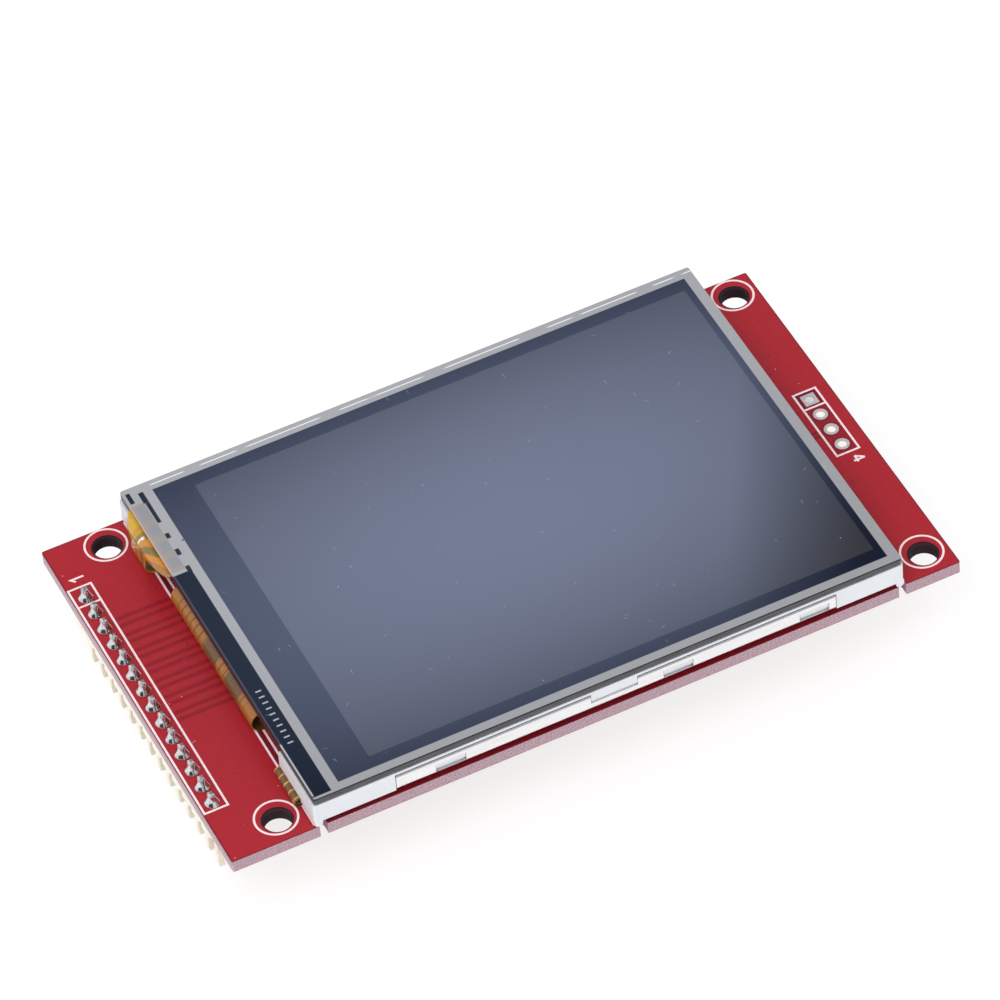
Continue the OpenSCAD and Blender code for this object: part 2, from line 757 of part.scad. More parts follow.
// floor under the card, with a slot for each spring contact and a window
module card_socket_floor() {
    l = socket_l / 2;
    x0 = -l + block_l;
    color([0.13, 0.13, 0.14]) below(socket_x, 0) difference() {
        block(x0, l - mouth_l, -card_w / 2, card_w / 2, 0, floor_t);
        for (n = [1:contacts]) translate([0, contact_y(n), 0])
            block(x0 - over, x0 + slot_l, -contact_w / 2 - 0.2, contact_w / 2 + 0.2,
                -over, floor_t + over);
        block(x0 + slot_l + 2, l - 3, -card_w / 2 + 3, card_w / 2 - 3, -over, floor_t + over);
    }
}

// side rails that guide the card
module card_socket_rails() {
    l = socket_l / 2;
    color([0.13, 0.13, 0.14]) below(socket_x, 0)
        for (y = [-rail_y, card_w / 2])
            block(-l + block_l, l - mouth_l, y, y + rail_y - card_w / 2, 0, rail_h);
}

module card_socket_contacts() {
    color("gold") below(socket_x, 0) for (n = [1:contacts])
        along_y(contact_y(n) - contact_w / 2, contact_y(n) + contact_w / 2)
            polygon(contact_side());
}

// moulded chip body with sides that slope to its parting line
module moulded_body(l, w, h, lift) {
    d = 0.12;
    translate([0, 0, lift]) intersection() {
        along_y(-w / 2, w / 2)
            polygon([[-l / 2 + d, 0], [-l / 2, h / 2], [-l / 2 + d, h], [l / 2 - d, h],
                [l / 2, h / 2], [l / 2 - d, 0]]);
        along_x(-l / 2, l / 2)
            polygon([[-w / 2 + d, 0], [-w / 2, h / 2], [-w / 2 + d, h], [w / 2 - d, h],
                [w / 2, h / 2], [w / 2 - d, 0]]);
    }
}

// gull-wing lead of width b that leaves a body's side at y, at height mid, and reaches
// out by reach
module gull_lead(x, y, mid, b, reach) {
    t = 0.15;
    k = reach / 3;
    z = mid - t / 2;
    along_x(x - b / 2, x + b / 2)
        polygon([[y, z], [y + k, z], [y + k + 0.1, 0], [y + reach, 0], [y + reach, t],
            [y + k + 0.1 + t, t], [y + k + t, z + t], [y, z + t]]);
}

controller = [5, 4.4, 0.95, 0.1];
small_case = [2.9, 1.3, 1, 0.1];

module touch_controller() {
    color([0.15, 0.15, 0.16]) below_header_end(controller_at) difference() {
        moulded_body(controller[0], controller[1], controller[2], controller[3]);
        translate([-1.8, -1.5, controller[2] + controller[3] - 0.05]) cylinder(d = 0.6, h = over);
    }
}

module touch_controller_leads() {
    color("silver") below_header_end(controller_at) both_sides() for (n = [0:7])
        gull_lead((n - 3.5) * 0.65, controller[1] / 2, controller[3] + controller[2] / 2, 0.25, 0.95);
}

module small_body(at) {
    below_header_end(at) moulded_body(small_case[0], small_case[1], small_case[2], small_case[3]);
}

module small_leads(at) {
    z = small_case[3] + small_case[2] / 2;
    below_header_end(at) {
        for (x = [-0.95, 0.95]) gull_lead(x, small_case[1] / 2, z, 0.4, 0.55);
        mirror([0, 1, 0]) gull_lead(0, small_case[1] / 2, z, 0.4, 0.55);
    }
}

module voltage_regulator() color([0.15, 0.15, 0.16]) small_body(regulator_at);

module voltage_regulator_leads() color("silver") small_leads(regulator_at);

module backlight_transistor() color([0.15, 0.15, 0.16]) small_body(transistor_at);

module backlight_transistor_leads() color("silver") small_leads(transistor_at);

module chip_middle(at, h) {
    m = chip_l2 / 2 - cap_end;
    below_header_end(at) block(-m, m, -chip_w2 / 2, chip_w2 / 2, 0.02, h - 0.02);
}

module chip_ends(at, h) {
    below_header_end(at) for (s = [0, 1]) mirror([s, 0, 0])
        block(chip_l2 / 2 - cap_end, chip_l2 / 2, -chip_w2 / 2, chip_w2 / 2, 0, h);
}

module chip_resistors() {
    color([0.1, 0.1, 0.1]) for (at = resistor_at) chip_middle(at, resistor_h);
}

module chip_capacitors() {
    color("tan") for (at = capacitor_at) chip_middle(at, capacitor_h);
}

module chip_terminations() {
    color("silver") {
        for (at = resistor_at) chip_ends(at, resistor_h);
        for (at = capacitor_at) chip_ends(at, capacitor_h);
    }
}

board();
header_body();
header_solder();
spare_pad_rings();
mounting_tape();
metal_tray();
backlight_frame();
reflector_sheet();
light_guide();
backlight_leds();
backlight_flex();
diffuser_sheet();
prism_sheet_lower();
prism_sheet_upper();
rim_tape();
rear_polarizer();
rear_glass();
front_glass();
front_polarizer();
driver_chip();
display_flex();
flex_solder();
panel_gasket();
touch_glass();
touch_spacer();
touch_film();
touch_tail();
card_socket_shell();
card_socket_body();
card_socket_floor();
card_socket_rails();
card_socket_contacts();
touch_controller();
touch_controller_leads();
voltage_regulator();
voltage_regulator_leads();
backlight_transistor();
backlight_transistor_leads();
chip_resistors();
chip_capacitors();
chip_terminations();
for (n = [1:pins]) header_pin(n);
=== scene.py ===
import math
import bpy
import numpy as np
from mathutils import Matrix, Vector


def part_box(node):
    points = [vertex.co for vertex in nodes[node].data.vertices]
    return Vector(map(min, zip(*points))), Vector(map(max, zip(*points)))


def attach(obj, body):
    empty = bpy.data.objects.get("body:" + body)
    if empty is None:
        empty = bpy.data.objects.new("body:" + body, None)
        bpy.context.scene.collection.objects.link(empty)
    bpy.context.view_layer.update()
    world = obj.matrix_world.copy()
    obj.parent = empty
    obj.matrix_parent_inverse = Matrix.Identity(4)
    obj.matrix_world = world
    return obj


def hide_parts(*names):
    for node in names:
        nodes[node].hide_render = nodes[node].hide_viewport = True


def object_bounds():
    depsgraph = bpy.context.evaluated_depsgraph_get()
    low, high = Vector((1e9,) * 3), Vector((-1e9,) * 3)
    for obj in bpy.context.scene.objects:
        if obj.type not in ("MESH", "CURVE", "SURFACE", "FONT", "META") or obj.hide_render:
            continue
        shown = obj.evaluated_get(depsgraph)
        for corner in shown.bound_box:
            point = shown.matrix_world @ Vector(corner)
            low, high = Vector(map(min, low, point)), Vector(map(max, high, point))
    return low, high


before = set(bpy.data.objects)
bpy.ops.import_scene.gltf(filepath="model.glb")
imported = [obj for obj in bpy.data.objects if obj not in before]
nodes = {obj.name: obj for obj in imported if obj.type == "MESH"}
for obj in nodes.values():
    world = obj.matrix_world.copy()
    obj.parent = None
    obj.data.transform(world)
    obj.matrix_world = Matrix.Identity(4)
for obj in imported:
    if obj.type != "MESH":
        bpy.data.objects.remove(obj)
cadLow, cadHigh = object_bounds()
mm = 0.001
print("frame loaded:", len(nodes), "nodes")


def boxOf(name):
    # a node's lowest and highest corner in millimetres
    low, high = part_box(name)
    return [v / mm for v in low], [v / mm for v in high]


class Wire:
    # one output socket; each operator adds a Math node
    def __init__(self, paint, socket):
        self.paint, self.socket = paint, socket

    def __add__(self, other):
        return self.paint.math("ADD", self, other)

    def __radd__(self, other):
        return self.paint.math("ADD", other, self)

    def __sub__(self, other):
        return self.paint.math("SUBTRACT", self, other)

    def __rsub__(self, other):
        return self.paint.math("SUBTRACT", other, self)

    def __mul__(self, other):
        return self.paint.math("MULTIPLY", self, other)

    def __rmul__(self, other):
        return self.paint.math("MULTIPLY", other, self)

    def __truediv__(self, other):
        return self.paint.math("DIVIDE", self, other)

    def __pow__(self, other):
        return self.paint.math("POWER", self, other)

    def __mod__(self, other):
        return self.paint.math("FLOORED_MODULO", self, other)

    def __abs__(self):
        return self.paint.math("ABSOLUTE", self)


class Paint:
    # one node tree, with place in millimetres from Object coordinates
    def __init__(self, tree):
        self.tree = tree
        tree.nodes.clear()
        self.kept = {}

    # any node: its type, its settings, then the values or links of its sockets
    def node(self, kind, settings={}, sockets={}):
        made = self.tree.nodes.new(kind)
        for key, value in settings.items():
            setattr(made, key, value)
        for key, value in sockets.items():
            socket = made.inputs[key]
            if isinstance(value, Wire):
                self.tree.links.new(value.socket, socket)
            elif isinstance(value, tuple) and socket.type == "RGBA":
                socket.default_value = (*value[:3], 1)
            else:
                socket.default_value = value
        return made

    def wire(self, made, output=0):
        return Wire(self, made.outputs[output])

    def math(self, operation, *values, clamp=False):
        return self.wire(self.node("ShaderNodeMath", {"operation": operation, "use_clamp": clamp},
                                   dict(enumerate(values))))

    def most(self, a, b):
        return self.math("MAXIMUM", a, b)

    def root(self, a):
        return self.math("SQRT", a)

    def mix(self, mask, a, b):
        # colour a where the mask is 0, b where it is 1
        made = self.node("ShaderNodeMix", {"data_type": "RGBA"}, {0: mask, 6: a, 7: b})
        return self.wire(made, 2)

    def spot(self):
        if "spot" not in self.kept:
            coordinates = self.wire(self.node("ShaderNodeTexCoord"), "Object")
            self.kept["spot"] = self.wire(self.node(
                "ShaderNodeVectorMath", {"operation": "SCALE"}, {0: coordinates, "Scale": 1000}))
        return self.kept["spot"]

    def place(self):
        if "place" not in self.kept:
            parts = self.node("ShaderNodeSeparateXYZ", {}, {0: self.spot()})
            self.kept["place"] = [self.wire(parts, k) for k in range(3)]
        return self.kept["place"]

    def stretch(self, vector, by):
        return self.wire(self.node("ShaderNodeVectorMath", {"operation": "MULTIPLY"},
                                   {0: vector, 1: by}))

    def join(self, x=0.0, y=0.0, z=0.0):
        return self.wire(self.node("ShaderNodeCombineXYZ", {}, {0: x, 1: y, 2: z}))

    def noise(self, scale, detail=2.0, roughness=0.5, vector=None):
        return self.wire(self.node("ShaderNodeTexNoise", {}, {
            "Vector": vector or self.spot(), "Scale": scale, "Detail": detail,
            "Roughness": roughness}))

    def cells(self, scale, vector=None):
        # distance to the nearest cell's middle, and that cell's random number
        made = self.node("ShaderNodeTexVoronoi", {},
                         {"Vector": vector or self.spot(), "Scale": scale})
        parts = self.node("ShaderNodeSeparateXYZ", {}, {0: self.wire(made, "Color")})
        return self.wire(made, "Distance"), self.wire(parts, 0)

    def above(self, value, at, soft=0.02):
        # 0 below at, 1 above it, over 2 soft
        return self.math("MULTIPLY_ADD", value, 0.5 / soft, 0.5 - at * 0.5 / soft, clamp=True)

    def band(self, value, low, high, soft=0.02):
        # 1 between low and high
        off = abs(value - (low + high) / 2)
        start = 0.5 + (high - low) * 0.25 / soft
        return self.math("MULTIPLY_ADD", off, -0.5 / soft, start, clamp=True)

    def patch(self, a, b, lowA, highA, lowB, highB, soft=0.02):
        # 1 inside a box of a and b
        return self.band(a, lowA, highA, soft) * self.band(b, lowB, highB, soft)

    def away(self, a, b):
        # length of the flat vector (a, b)
        return self.root(a * a + b * b)

    def bump(self, height, strength=0.3, distance=0.0001, normal=None):
        sockets = {"Height": height, "Strength": strength, "Distance": distance}
        if normal:
            sockets["Normal"] = normal
        return self.wire(self.node("ShaderNodeBump", {}, sockets))

    def finish(self, colour, roughness=0.5, metallic=0.0, normal=None, constants={}):
        sockets = {"Base Color": colour, "Roughness": roughness, "Metallic": metallic, **constants}
        if normal:
            sockets["Normal"] = normal
        surface = self.node("ShaderNodeBsdfPrincipled", {}, sockets)
        self.node("ShaderNodeOutputMaterial", {}, {"Surface": self.wire(surface)})


def newPaint(name):
    material = bpy.data.materials.new(name)
    material.use_nodes = True
    return material, Paint(material.node_tree)


def shade(red, green, blue):
    # a screen colour of 0..255 as linear numbers
    return tuple(((c / 255 + 0.055) / 1.055) ** 2.4 if c > 10 else c / 3294.6
                 for c in (red, green, blue))


boardLook = {"mask": shade(171, 32, 43), "maskDark": shade(104, 12, 22),
             "maskPale": shade(183, 42, 52), "maskDeep": shade(96, 16, 30),
             "laminate": shade(178, 141, 152), "laminatePale": shade(216, 196, 204),
             "laminateDark": shade(134, 100, 116), "drill": shade(44, 24, 36),
             "drillPaintedLight": shade(86, 60, 64), "tin": shade(250, 248, 244),
             "dust": shade(236, 214, 216)}
boardLow, boardHigh = boxOf("board")
filmLow, filmHigh = boxOf("touch_film")
holeX, holeY, holeR = 38.25, 22.1, 1.6
pinPitch, pinCount = 2.54, 14
headerX, firstPin = -43.25, 16.51
spareX, spareY = 38.25, 0.33

# places on the board, a box being low x, high x, low y, high y
boardPlan = {"pinBox": (-44.62, -41.92, -17.6, 18.25), "pinLine": 15.5,
             "spareBox": (36.9, 39.62, -4.85, 5.5), "spareLine": 2.95,
             "spareShade": (37.0, 39.5, -4.75, 5.4), "sparePads": (-4.8, 5.4),
             "traces": (-41.7, -34.0, -4.7, 12.6), "shadowed": (-33.8, 33.6),
             "lead": (34.4, 36.8), "leadY": -0.94, "endWall": -44.7}


def boardMaterial():
    # mask over copper: colour varies with a slow noise; a trace runs from each pin, where
    # |y - pin| < 0.28, with a soft dark gap beside it out to 0.8; walls are laminate, drilled
    # walls are painted dark brown for shade or are tinned
    material, p = newPaint("boardRed")
    look, plan = boardLook, boardPlan
    x, y, z = p.place()
    slow, fine = p.noise(0.09, 3), p.noise(1.6, 4, 0.6)
    mask = p.mix(p.above(slow, 0.5, 0.3) * 0.35, look["mask"], look["maskPale"])
    mask = p.mix(p.above(fine, 0.62, 0.12) * 0.18, mask, look["maskDark"])
    top = p.above(z, -0.8, 0.01)
    offPin = abs((y - (firstPin + pinPitch / 2)) % pinPitch - pinPitch / 2)
    run = p.patch(x, y, *plan["traces"], 0.1) * top
    gap = p.band(offPin, 0.28, 0.8, 0.2) * run
    trace = p.band(offPin, -0.28, 0.28, 0.12) * run
    mask = p.mix(gap * 0.5, mask, look["maskDark"])
    mask = p.mix(trace * 0.15, mask, look["maskPale"])
    # a thin maroon line along the board's edge; painted shadow under the display's sides
    outline = 1 - p.patch(x, y, boardLow[0] + 0.14, boardHigh[0] - 0.1,
                          boardLow[1] + 0.1, boardHigh[1] - 0.1, 0.06)
    beside = 1 - p.band(y, boardLow[1] + 0.75, boardHigh[1] - 0.75, 0.3)
    under = beside * p.band(x, *plan["shadowed"], 0.1)
    mask = p.mix(p.most(outline * 0.8, under * 0.75) * top, mask, look["maskDeep"])
    # painted shade: the mask is dark between the two lines at the display's end
    paintedShadeBetween = p.band(x, filmLow[0], filmLow[0] + 0.6, 0.06)
    mask = p.mix(paintedShadeBetween * 0.75 * top, mask, look["maskDeep"])
    # darker mask inside the spare pads' box, deepest at the first pad, and a pair of dark lines
    # that lead to the third
    offSpare = abs((y - (spareY + pinPitch)) % pinPitch - pinPitch / 2)
    spareAway = p.away(x - spareX, offSpare)
    atPads = p.band(y, *plan["sparePads"], 0.05)
    firstPad = p.above(y, plan["spareLine"], 0.05)
    halo = p.band(spareAway, 0.9, 1.12, 0.05) * atPads
    boxed = p.patch(x, y, *plan["spareShade"], 0.05) * (0.35 + firstPad * 0.4)
    lead = p.band(abs(y - plan["leadY"]), 0.16, 0.5, 0.12) * p.band(x, *plan["lead"], 0.1)
    mask = p.mix(p.most(p.most(halo * 0.6, boxed), lead * 0.6), mask, look["maskDeep"])
    # a thin dark ring at each mounting hole, 0.1 mm off its centre
    ringAway = p.away(abs(x) - holeX, y - 0.1 - p.math("SIGN", y) * holeY)
    mask = p.mix(p.band(ringAway, 0.0, holeR + 0.16, 0.04), mask, look["drill"])
    # specks of dust and flux
    near, chosen = p.cells(0.75, p.join(x, y, 0.0))
    speck = p.band(near, -0.045, 0.045, 0.02) * p.above(chosen, 0.66, 0.02) * top
    mask = p.mix(speck * 0.75, mask, look["dust"])
    # laminate walls: fibres run along the wall, so the noise is long in x + y and short in z
    along = x + y
    weave = p.noise(1.0, 5, 0.65, p.join(along * 3.0, 0.0, z * 12.0))
    cross = p.noise(1.0, 3, 0.6, p.join(along * 11.0 + z * 8.0, 0.0, z * 6.0))
    wallColour = p.mix(p.above(weave, 0.48, 0.12), look["laminateDark"], look["laminate"])
    wallColour = p.mix(p.above(cross, 0.53, 0.09) * 0.85, wallColour, look["laminatePale"])
    # painted light: the lower half of the wall at the header's end is paler
    endWall = p.band(x, -50.0, plan["endWall"], 0.05) * (1 - p.above(z, -0.9, 0.6))
    wallColour = p.mix(endWall * 0.5, wallColour, look["laminatePale"])
    wall = p.band(z, boardLow[2] + 0.03, boardHigh[2] - 0.03, 0.015)
    # painted shade darkens the mounting holes' walls to brown; painted light pales them at the top
    beyond = p.above(p.away(abs(x) - holeX, abs(y) - holeY), holeR + 0.2, 0.02)
    paintedLightToTop = p.above(z, -0.3, 0.35) * 0.8 - p.above(z, -1.0, 0.5) * 0.2
    paintedHoleShade = p.mix(paintedLightToTop, look["drill"], look["drillPaintedLight"])
    wallColour = p.mix(beyond, paintedHoleShade, wallColour)
    plated = p.band(spareAway, -0.7, 0.7, 0.02) * atPads * wall
    wallColour = p.mix(plated, wallColour, look["tin"])
    colour = p.mix(wall, mask, wallColour)
    relief = p.bump((trace + speck + fine * 0.15) * (1 - wall), 0.35, 0.00003)
    relief = p.bump(weave * wall, 0.4, 0.00005, relief)
    # painted light: the plated holes glow as if the tin passed light down them, least at the first
    # one
    paintedGlow = plated * (0.15 - firstPad * 0.1) * (0.6 + p.noise(3.0, 2) * 0.8)
    paintedGlowColour = p.mix(paintedGlow, (0.0, 0.0, 0.0), (1.0, 0.97, 0.95))
    p.finish(colour, 0.27 + wall * 0.5 + fine * 0.08, plated * 0.1, relief,
             {"Specular IOR Level": 0.32, "Emission Color": paintedGlowColour, "Emission Strength": 1.0})
    return material


def metalMaterial(name, dull, bright, roughness, grain, grainBy=(1, 1, 1)):
    # metal: two tones mixed by a noise stretched by grainBy, with the same noise as relief
    material, p = newPaint(name)
    spots = p.noise(grain, 4, 0.6, p.stretch(p.spot(), grainBy))
    broad = p.noise(0.35, 2)
    colour = p.mix(p.above(spots, 0.5, 0.22), dull, bright)
    p.finish(colour, roughness + spots * 0.12 + broad * 0.06, 1.0,
             p.bump(spots + broad * 0.6, 0.25, 0.00005))
    return material


def plasticMaterial(name, colour, other, roughness, grain=3.0, speck=0.35, strength=0.15):
    # moulded plastic: a slow drift and fine specks between two tones, a fine grain as relief
    material, p = newPaint(name)
    fine, slow = p.noise(grain, 4, 0.6), p.noise(0.25, 2)
    tone = p.mix(p.above(slow, 0.5, 0.25) * 0.6, colour, other)
    tone = p.mix(p.above(fine, 0.62, 0.1) * speck, tone, other)
    p.finish(tone, roughness + fine * 0.12, 0.0, p.bump(fine, strength, 0.00003))
    return material


pinLook = {"gold": shade(250, 246, 232), "goldDark": shade(242, 234, 208),
           "tin": shade(236, 236, 238), "tinDark": shade(170, 168, 172)}


def pinMaterial():
    # gold below the board, tinned by the solder above it
    material, p = newPaint("pinPlating")
    z = p.place()[2]
    spots = p.noise(2.5, 3, 0.6)
    gold = p.mix(p.above(spots, 0.5, 0.2), pinLook["goldDark"], pinLook["gold"])
    tin = p.mix(p.above(spots, 0.45, 0.15), pinLook["tinDark"], pinLook["tin"])
    upper = p.above(z, -0.2, 0.1)
    p.finish(p.mix(upper, gold, tin), 0.24 + spots * 0.15, 0.15 + upper * 0.75,
             p.bump(spots, 0.3, 0.00006))
    return material


def solderMaterial():
    # bright solder: slow lumps bend the reflections, with dull flux spots
    material, p = newPaint("solder")
    lumps, spots = p.noise(1.1, 2, 0.5), p.noise(4.0, 3, 0.6)
    colour = p.mix(p.above(spots, 0.6, 0.1) * 0.35, shade(214, 214, 217), shade(120, 112, 110))
    relief = p.bump(lumps, 0.15, 0.0002, p.bump(spots, 0.15, 0.00003))
    p.finish(colour, 0.08 + spots * 0.1, 1.0, relief)
    return material


def trayMaterial():
    # rolled sheet: long waves along x bend the reflection, with a few dents and rub marks
    material, p = newPaint("traySteel")
    x, y, z = p.place()
    waves = p.noise(1.0, 3, 0.55, p.join(x * 0.22, y * 0.22, z * 0.9))
    rubs = p.noise(1.0, 5, 0.7, p.join(x * 1.4, y * 1.4, z * 5.0))
    dents, chosen = p.cells(0.22)
    dent = p.band(dents, -0.12, 0.12, 0.05) * p.above(chosen, 0.75, 0.02)
    colour = p.mix(p.above(rubs, 0.62, 0.08) * 0.15, shade(243, 243, 244), shade(176, 178, 182))
    # painted shade: the tray's top 0.3 mm is painted darker grey
    paintedShadeTop = p.above(z, boxOf("metal_tray")[1][2] - 0.3, 0.06)
    colour = p.mix(paintedShadeTop * 0.85, colour, shade(150, 151, 154))
    relief = p.bump(waves + dent * 0.5, 0.4, 0.0004, p.bump(rubs, 0.2, 0.00003))
    p.finish(colour, 0.24 + rubs * 0.12, 0.85, relief)
    return material


screenLook = {"active": (0.034, 0.037, 0.048), "activeWarm": (0.038, 0.039, 0.048),
              "margin": (0.006, 0.010, 0.026), "navy": (0.002, 0.008, 0.021),
              "silver": shade(153, 154, 158), "silverPaintedSheen": shade(170, 171, 175),
              "window": shade(26, 32, 40), "pad": shade(140, 141, 146),
              "beige": shade(152, 145, 134), "peach": shade(206, 172, 142),
              "pink": shade(176, 150, 150), "dust": shade(232, 236, 242),
              "edge": shade(24, 22, 26), "lip": shade(206, 208, 212), "rim": shade(92, 87, 97),
              "paintedHighlightLine": shade(238, 240, 242), "tick": shade(190, 196, 206)}
filmWidth = filmHigh[0] - filmLow[0]

# the film's face: a box is low u, high u, low y, high y, with u from the film's flex end
filmPlan = {"inner": (3.3, filmWidth - 1.2, -24.0, 23.6),
            "viewArea": (7.6, filmWidth - 2.0, -22.4, 21.9), "paintedHighlightLine": (24.27, 24.4),
            "strip": (-1.0, 2.2, -24.7, 10.8), "lip": (-24.5, -16.4),
            "bond": (-1.0, 1.7, 11.25, 22.3), "bondLine": (0.3, 2.0, 11.62, 11.72),
            "pads": ((19.6, 21.9), (17.2, 18.7), (14.3, 16.0), (11.9, 13.4)),
            "windows": ((0.35, 0.85, 22.65, 24.3), (1.65, 2.25, 22.1, 23.8),
                        (1.8, 2.25, 18.75, 22.1), (1.75, 2.25, 16.15, 16.95),
                        (1.75, 2.25, 13.35, 14.35), (1.75, 2.25, 10.6, 11.55),
                        (3.0, 3.3, 15.1, 15.25)),
            "ticks": (0.9, 1.55, -17.0, -8.0), "tickStep": 0.9}


def filmMaterial():
    # the face is laid out from the film's corner (u, y): navy strip, silver ring, dark margin and
    # paler viewing area; dust is the middles of chosen cells, fibres are cells stretched long
    material, p = newPaint("touchFilm")
    look, plan = screenLook, filmPlan
    x, y, z = p.place()
    u = x - filmLow[0]
    cloud, grain = p.noise(0.06, 2), p.noise(2.2, 4, 0.6)
    # painted sheen: the silver ring grows paler along a diagonal across the film, with some grain
    paintedSheenAndGrain = p.above(y - u * 0.4, -6.0, 24.0) * 0.6 + p.above(grain, 0.5, 0.3) * 0.2
    silver = p.mix(paintedSheenAndGrain, look["silver"], look["silverPaintedSheen"])
    active = p.mix(p.above(cloud, 0.5, 0.2), look["active"], look["activeWarm"])
    inner = p.patch(u, y, *plan["inner"], 0.03)
    viewArea = p.patch(u, y, *plan["viewArea"], 0.03)
    screen = p.mix(viewArea, look["margin"], active)
    colour = p.mix(inner, silver, screen)
    # painted highlight: a bright hairline at the far edge, broken in places along it
    broken = p.above(p.noise(1.0, 1, 0.5, p.join(x * 0.16, 0.0, 0.0)), 0.46, 0.02)
    paintedHighlightLine = p.band(y, *plan["paintedHighlightLine"], 0.03) * broken * p.above(u, 3.0, 0.1)
    colour = p.mix(paintedHighlightLine, colour, look["paintedHighlightLine"])
    strip = p.patch(u, y, *plan["strip"], 0.03)
    colour = p.mix(strip, colour, look["navy"])
    # painted highlight: the cut edge is painted as catching the light, dull beside the strip,
    # bright beside the frame's wall
    rim = p.band(u, 0.06, 0.24, 0.06) * strip
    beside = p.band(y, *plan["lip"], 0.1)
    colour = p.mix(rim * (0.6 + beside * 0.15), colour, p.mix(beside, look["rim"], look["lip"]))
    # bonded end of the tail: soft pads with beige strips between them, a peach edge that fades
    # inwards, and windows in the ink
    bond = p.patch(u, y, *plan["bond"], 0.05)
    padTone = look["beige"]
    for low, high in plan["pads"]:
        padTone = p.mix(p.band(y - grain * 0.3, low - 0.15, high - 0.15, 0.2), padTone, look["pad"])
    padTone = p.mix((1 - p.above(u, 0.4, 0.4)) * 0.7, padTone, look["pink"])
    padTone = p.mix(p.band(u, -1.0, 0.14, 0.06), padTone, look["peach"])
    colour = p.mix(bond * 0.85, colour, padTone)
    colour = p.mix(p.patch(u, y, *plan["bondLine"], 0.05) * 0.6, colour, look["pink"])
    for window in plan["windows"]:
        colour = p.mix(p.patch(u, y, *window, 0.04), colour, look["window"])
    # a row of ticks on the navy strip
    along = (y - plan["ticks"][2]) % plan["tickStep"]
    ticks = p.band(along, 0.3, 0.48, 0.04) * p.patch(u, y, *plan["ticks"], 0.03)
    colour = p.mix(ticks * 0.85, colour, look["tick"])
    # dust, then three sets of fibres, each turned by its own angle and bent by a noise
    flat = p.join(x, y, 0.0)
    near, chosen = p.cells(0.3, flat)
    dust = p.band(near, -0.02, 0.02, 0.01) * p.above(chosen, 0.7, 0.02) * (chosen * chosen * 0.5)
    curl = p.noise(0.7, 1)
    for turn, seed in ((0.5, 11.0), (1.6, 23.0), (2.6, 37.0)):
        c, s = math.cos(turn), math.sin(turn)
        bent = p.join((x * c + y * s) * 0.3, (y * c - x * s) * 1.4 + curl * 1.1, seed)
        long, picked = p.cells(1.0, bent)
        dust = p.most(dust, p.band(long, -0.07, 0.07, 0.05) * p.above(picked, 0.93, 0.01) * 0.2)
    colour = p.mix(dust * p.above(z, filmHigh[2] - 0.03, 0.01), colour, look["dust"])
    # painted shade: the film's side is near black, for the shadow gap along its edge
    side = 1 - p.above(z, filmHigh[2] - 0.03, 0.01)
    colour = p.mix(side, colour, look["edge"])
    coat = p.most(inner * (0.75 + viewArea * 0.25), 0.22 - strip * 0.06)
    coat = coat * (1 - dust) * (1 - side)
    p.finish(colour, 0.34 + dust * 0.3, 0.0, None,
             {"Specular IOR Level": 0.22, "Coat Weight": coat, "Coat IOR": 1.9,
              "Coat Roughness": 0.035})
    return material


def edgeMaterial(name, dark, pale, roughness, endShade=None):
    # a stack's edge: thin level lines, from a noise that is long in x and y and short in z;
    # an optional end colour paints shade over the wall at the film's flex end
    material, p = newPaint(name)
    lines = p.noise(1.0, 4, 0.6, p.stretch(p.spot(), (0.5, 0.5, 9.0)))
    colour = p.mix(p.above(lines, 0.5, 0.14), dark, pale)
    if endShade:
        endWall = 1 - p.above(p.place()[0], filmLow[0] + 0.04, 0.02)
        colour = p.mix(endWall * 0.85, colour, endShade)
    p.finish(colour, roughness + lines * 0.15, 0.0, p.bump(lines, 0.2, 0.00003),
             {"Specular IOR Level": 0.2})
    return material


flexLook = {"film": shade(160, 98, 26), "filmDark": shade(108, 76, 38),
            "trace": shade(58, 40, 26), "gold": shade(222, 172, 92), "brown": shade(112, 74, 34),
            "step": 1.05, "closeStep": 0.36, "crowds": ((-0.8, 2.4), (-6.3, -3.0)),
            "traced": (-7.8, 9.2), "lampStep": 1.2}


def flexMaterial():
    # film with dark traces across the fold that sweep aside low down: a line wherever
    # y + 1.6 (2 - z)^2, waved by a slow noise, passes a step; in two stretches the traces lie
    # about three times as close
    material, p = newPaint("displayFlex")
    y, z = p.place()[1:]
    slow, fine = p.noise(0.5, 1, 0.5, p.join(0.0, y, z * 0.6)), p.noise(3.0, 3)
    drop = p.most(2.0 - z, 0.0)
    climb = y + drop * drop * 1.6 + slow * 0.5 - 0.25
    crowd = p.most(*(p.band(climb, *stretch, 0.1) for stretch in flexLook["crowds"]))
    step, closeStep = flexLook["step"], flexLook["closeStep"]
    sparse = p.band(abs(climb % step - step / 2), -0.09, 0.09, 0.05)
    close = p.band(abs(climb % closeStep - closeStep / 2), -0.07, 0.07, 0.05)
    lines = sparse * (1 - crowd) + close * crowd
    colour = p.mix(crowd * 0.85, flexLook["film"], flexLook["filmDark"])
    # painted shade: the film darkens to brown low on the fold, below z = 1
    colour = p.mix((1 - p.above(z, 1.0, 0.7)) * 0.5, colour, flexLook["brown"])
    traced = p.band(climb, *flexLook["traced"], 0.2)
    colour = p.mix(lines * traced * 0.8, colour, flexLook["trace"])
    p.finish(colour, 0.3 + fine * 0.1, 0.0, p.bump(lines + fine * 0.3, 0.25, 0.00004),
             {"Coat Weight": 0.3, "Coat Roughness": 0.2})
    return material


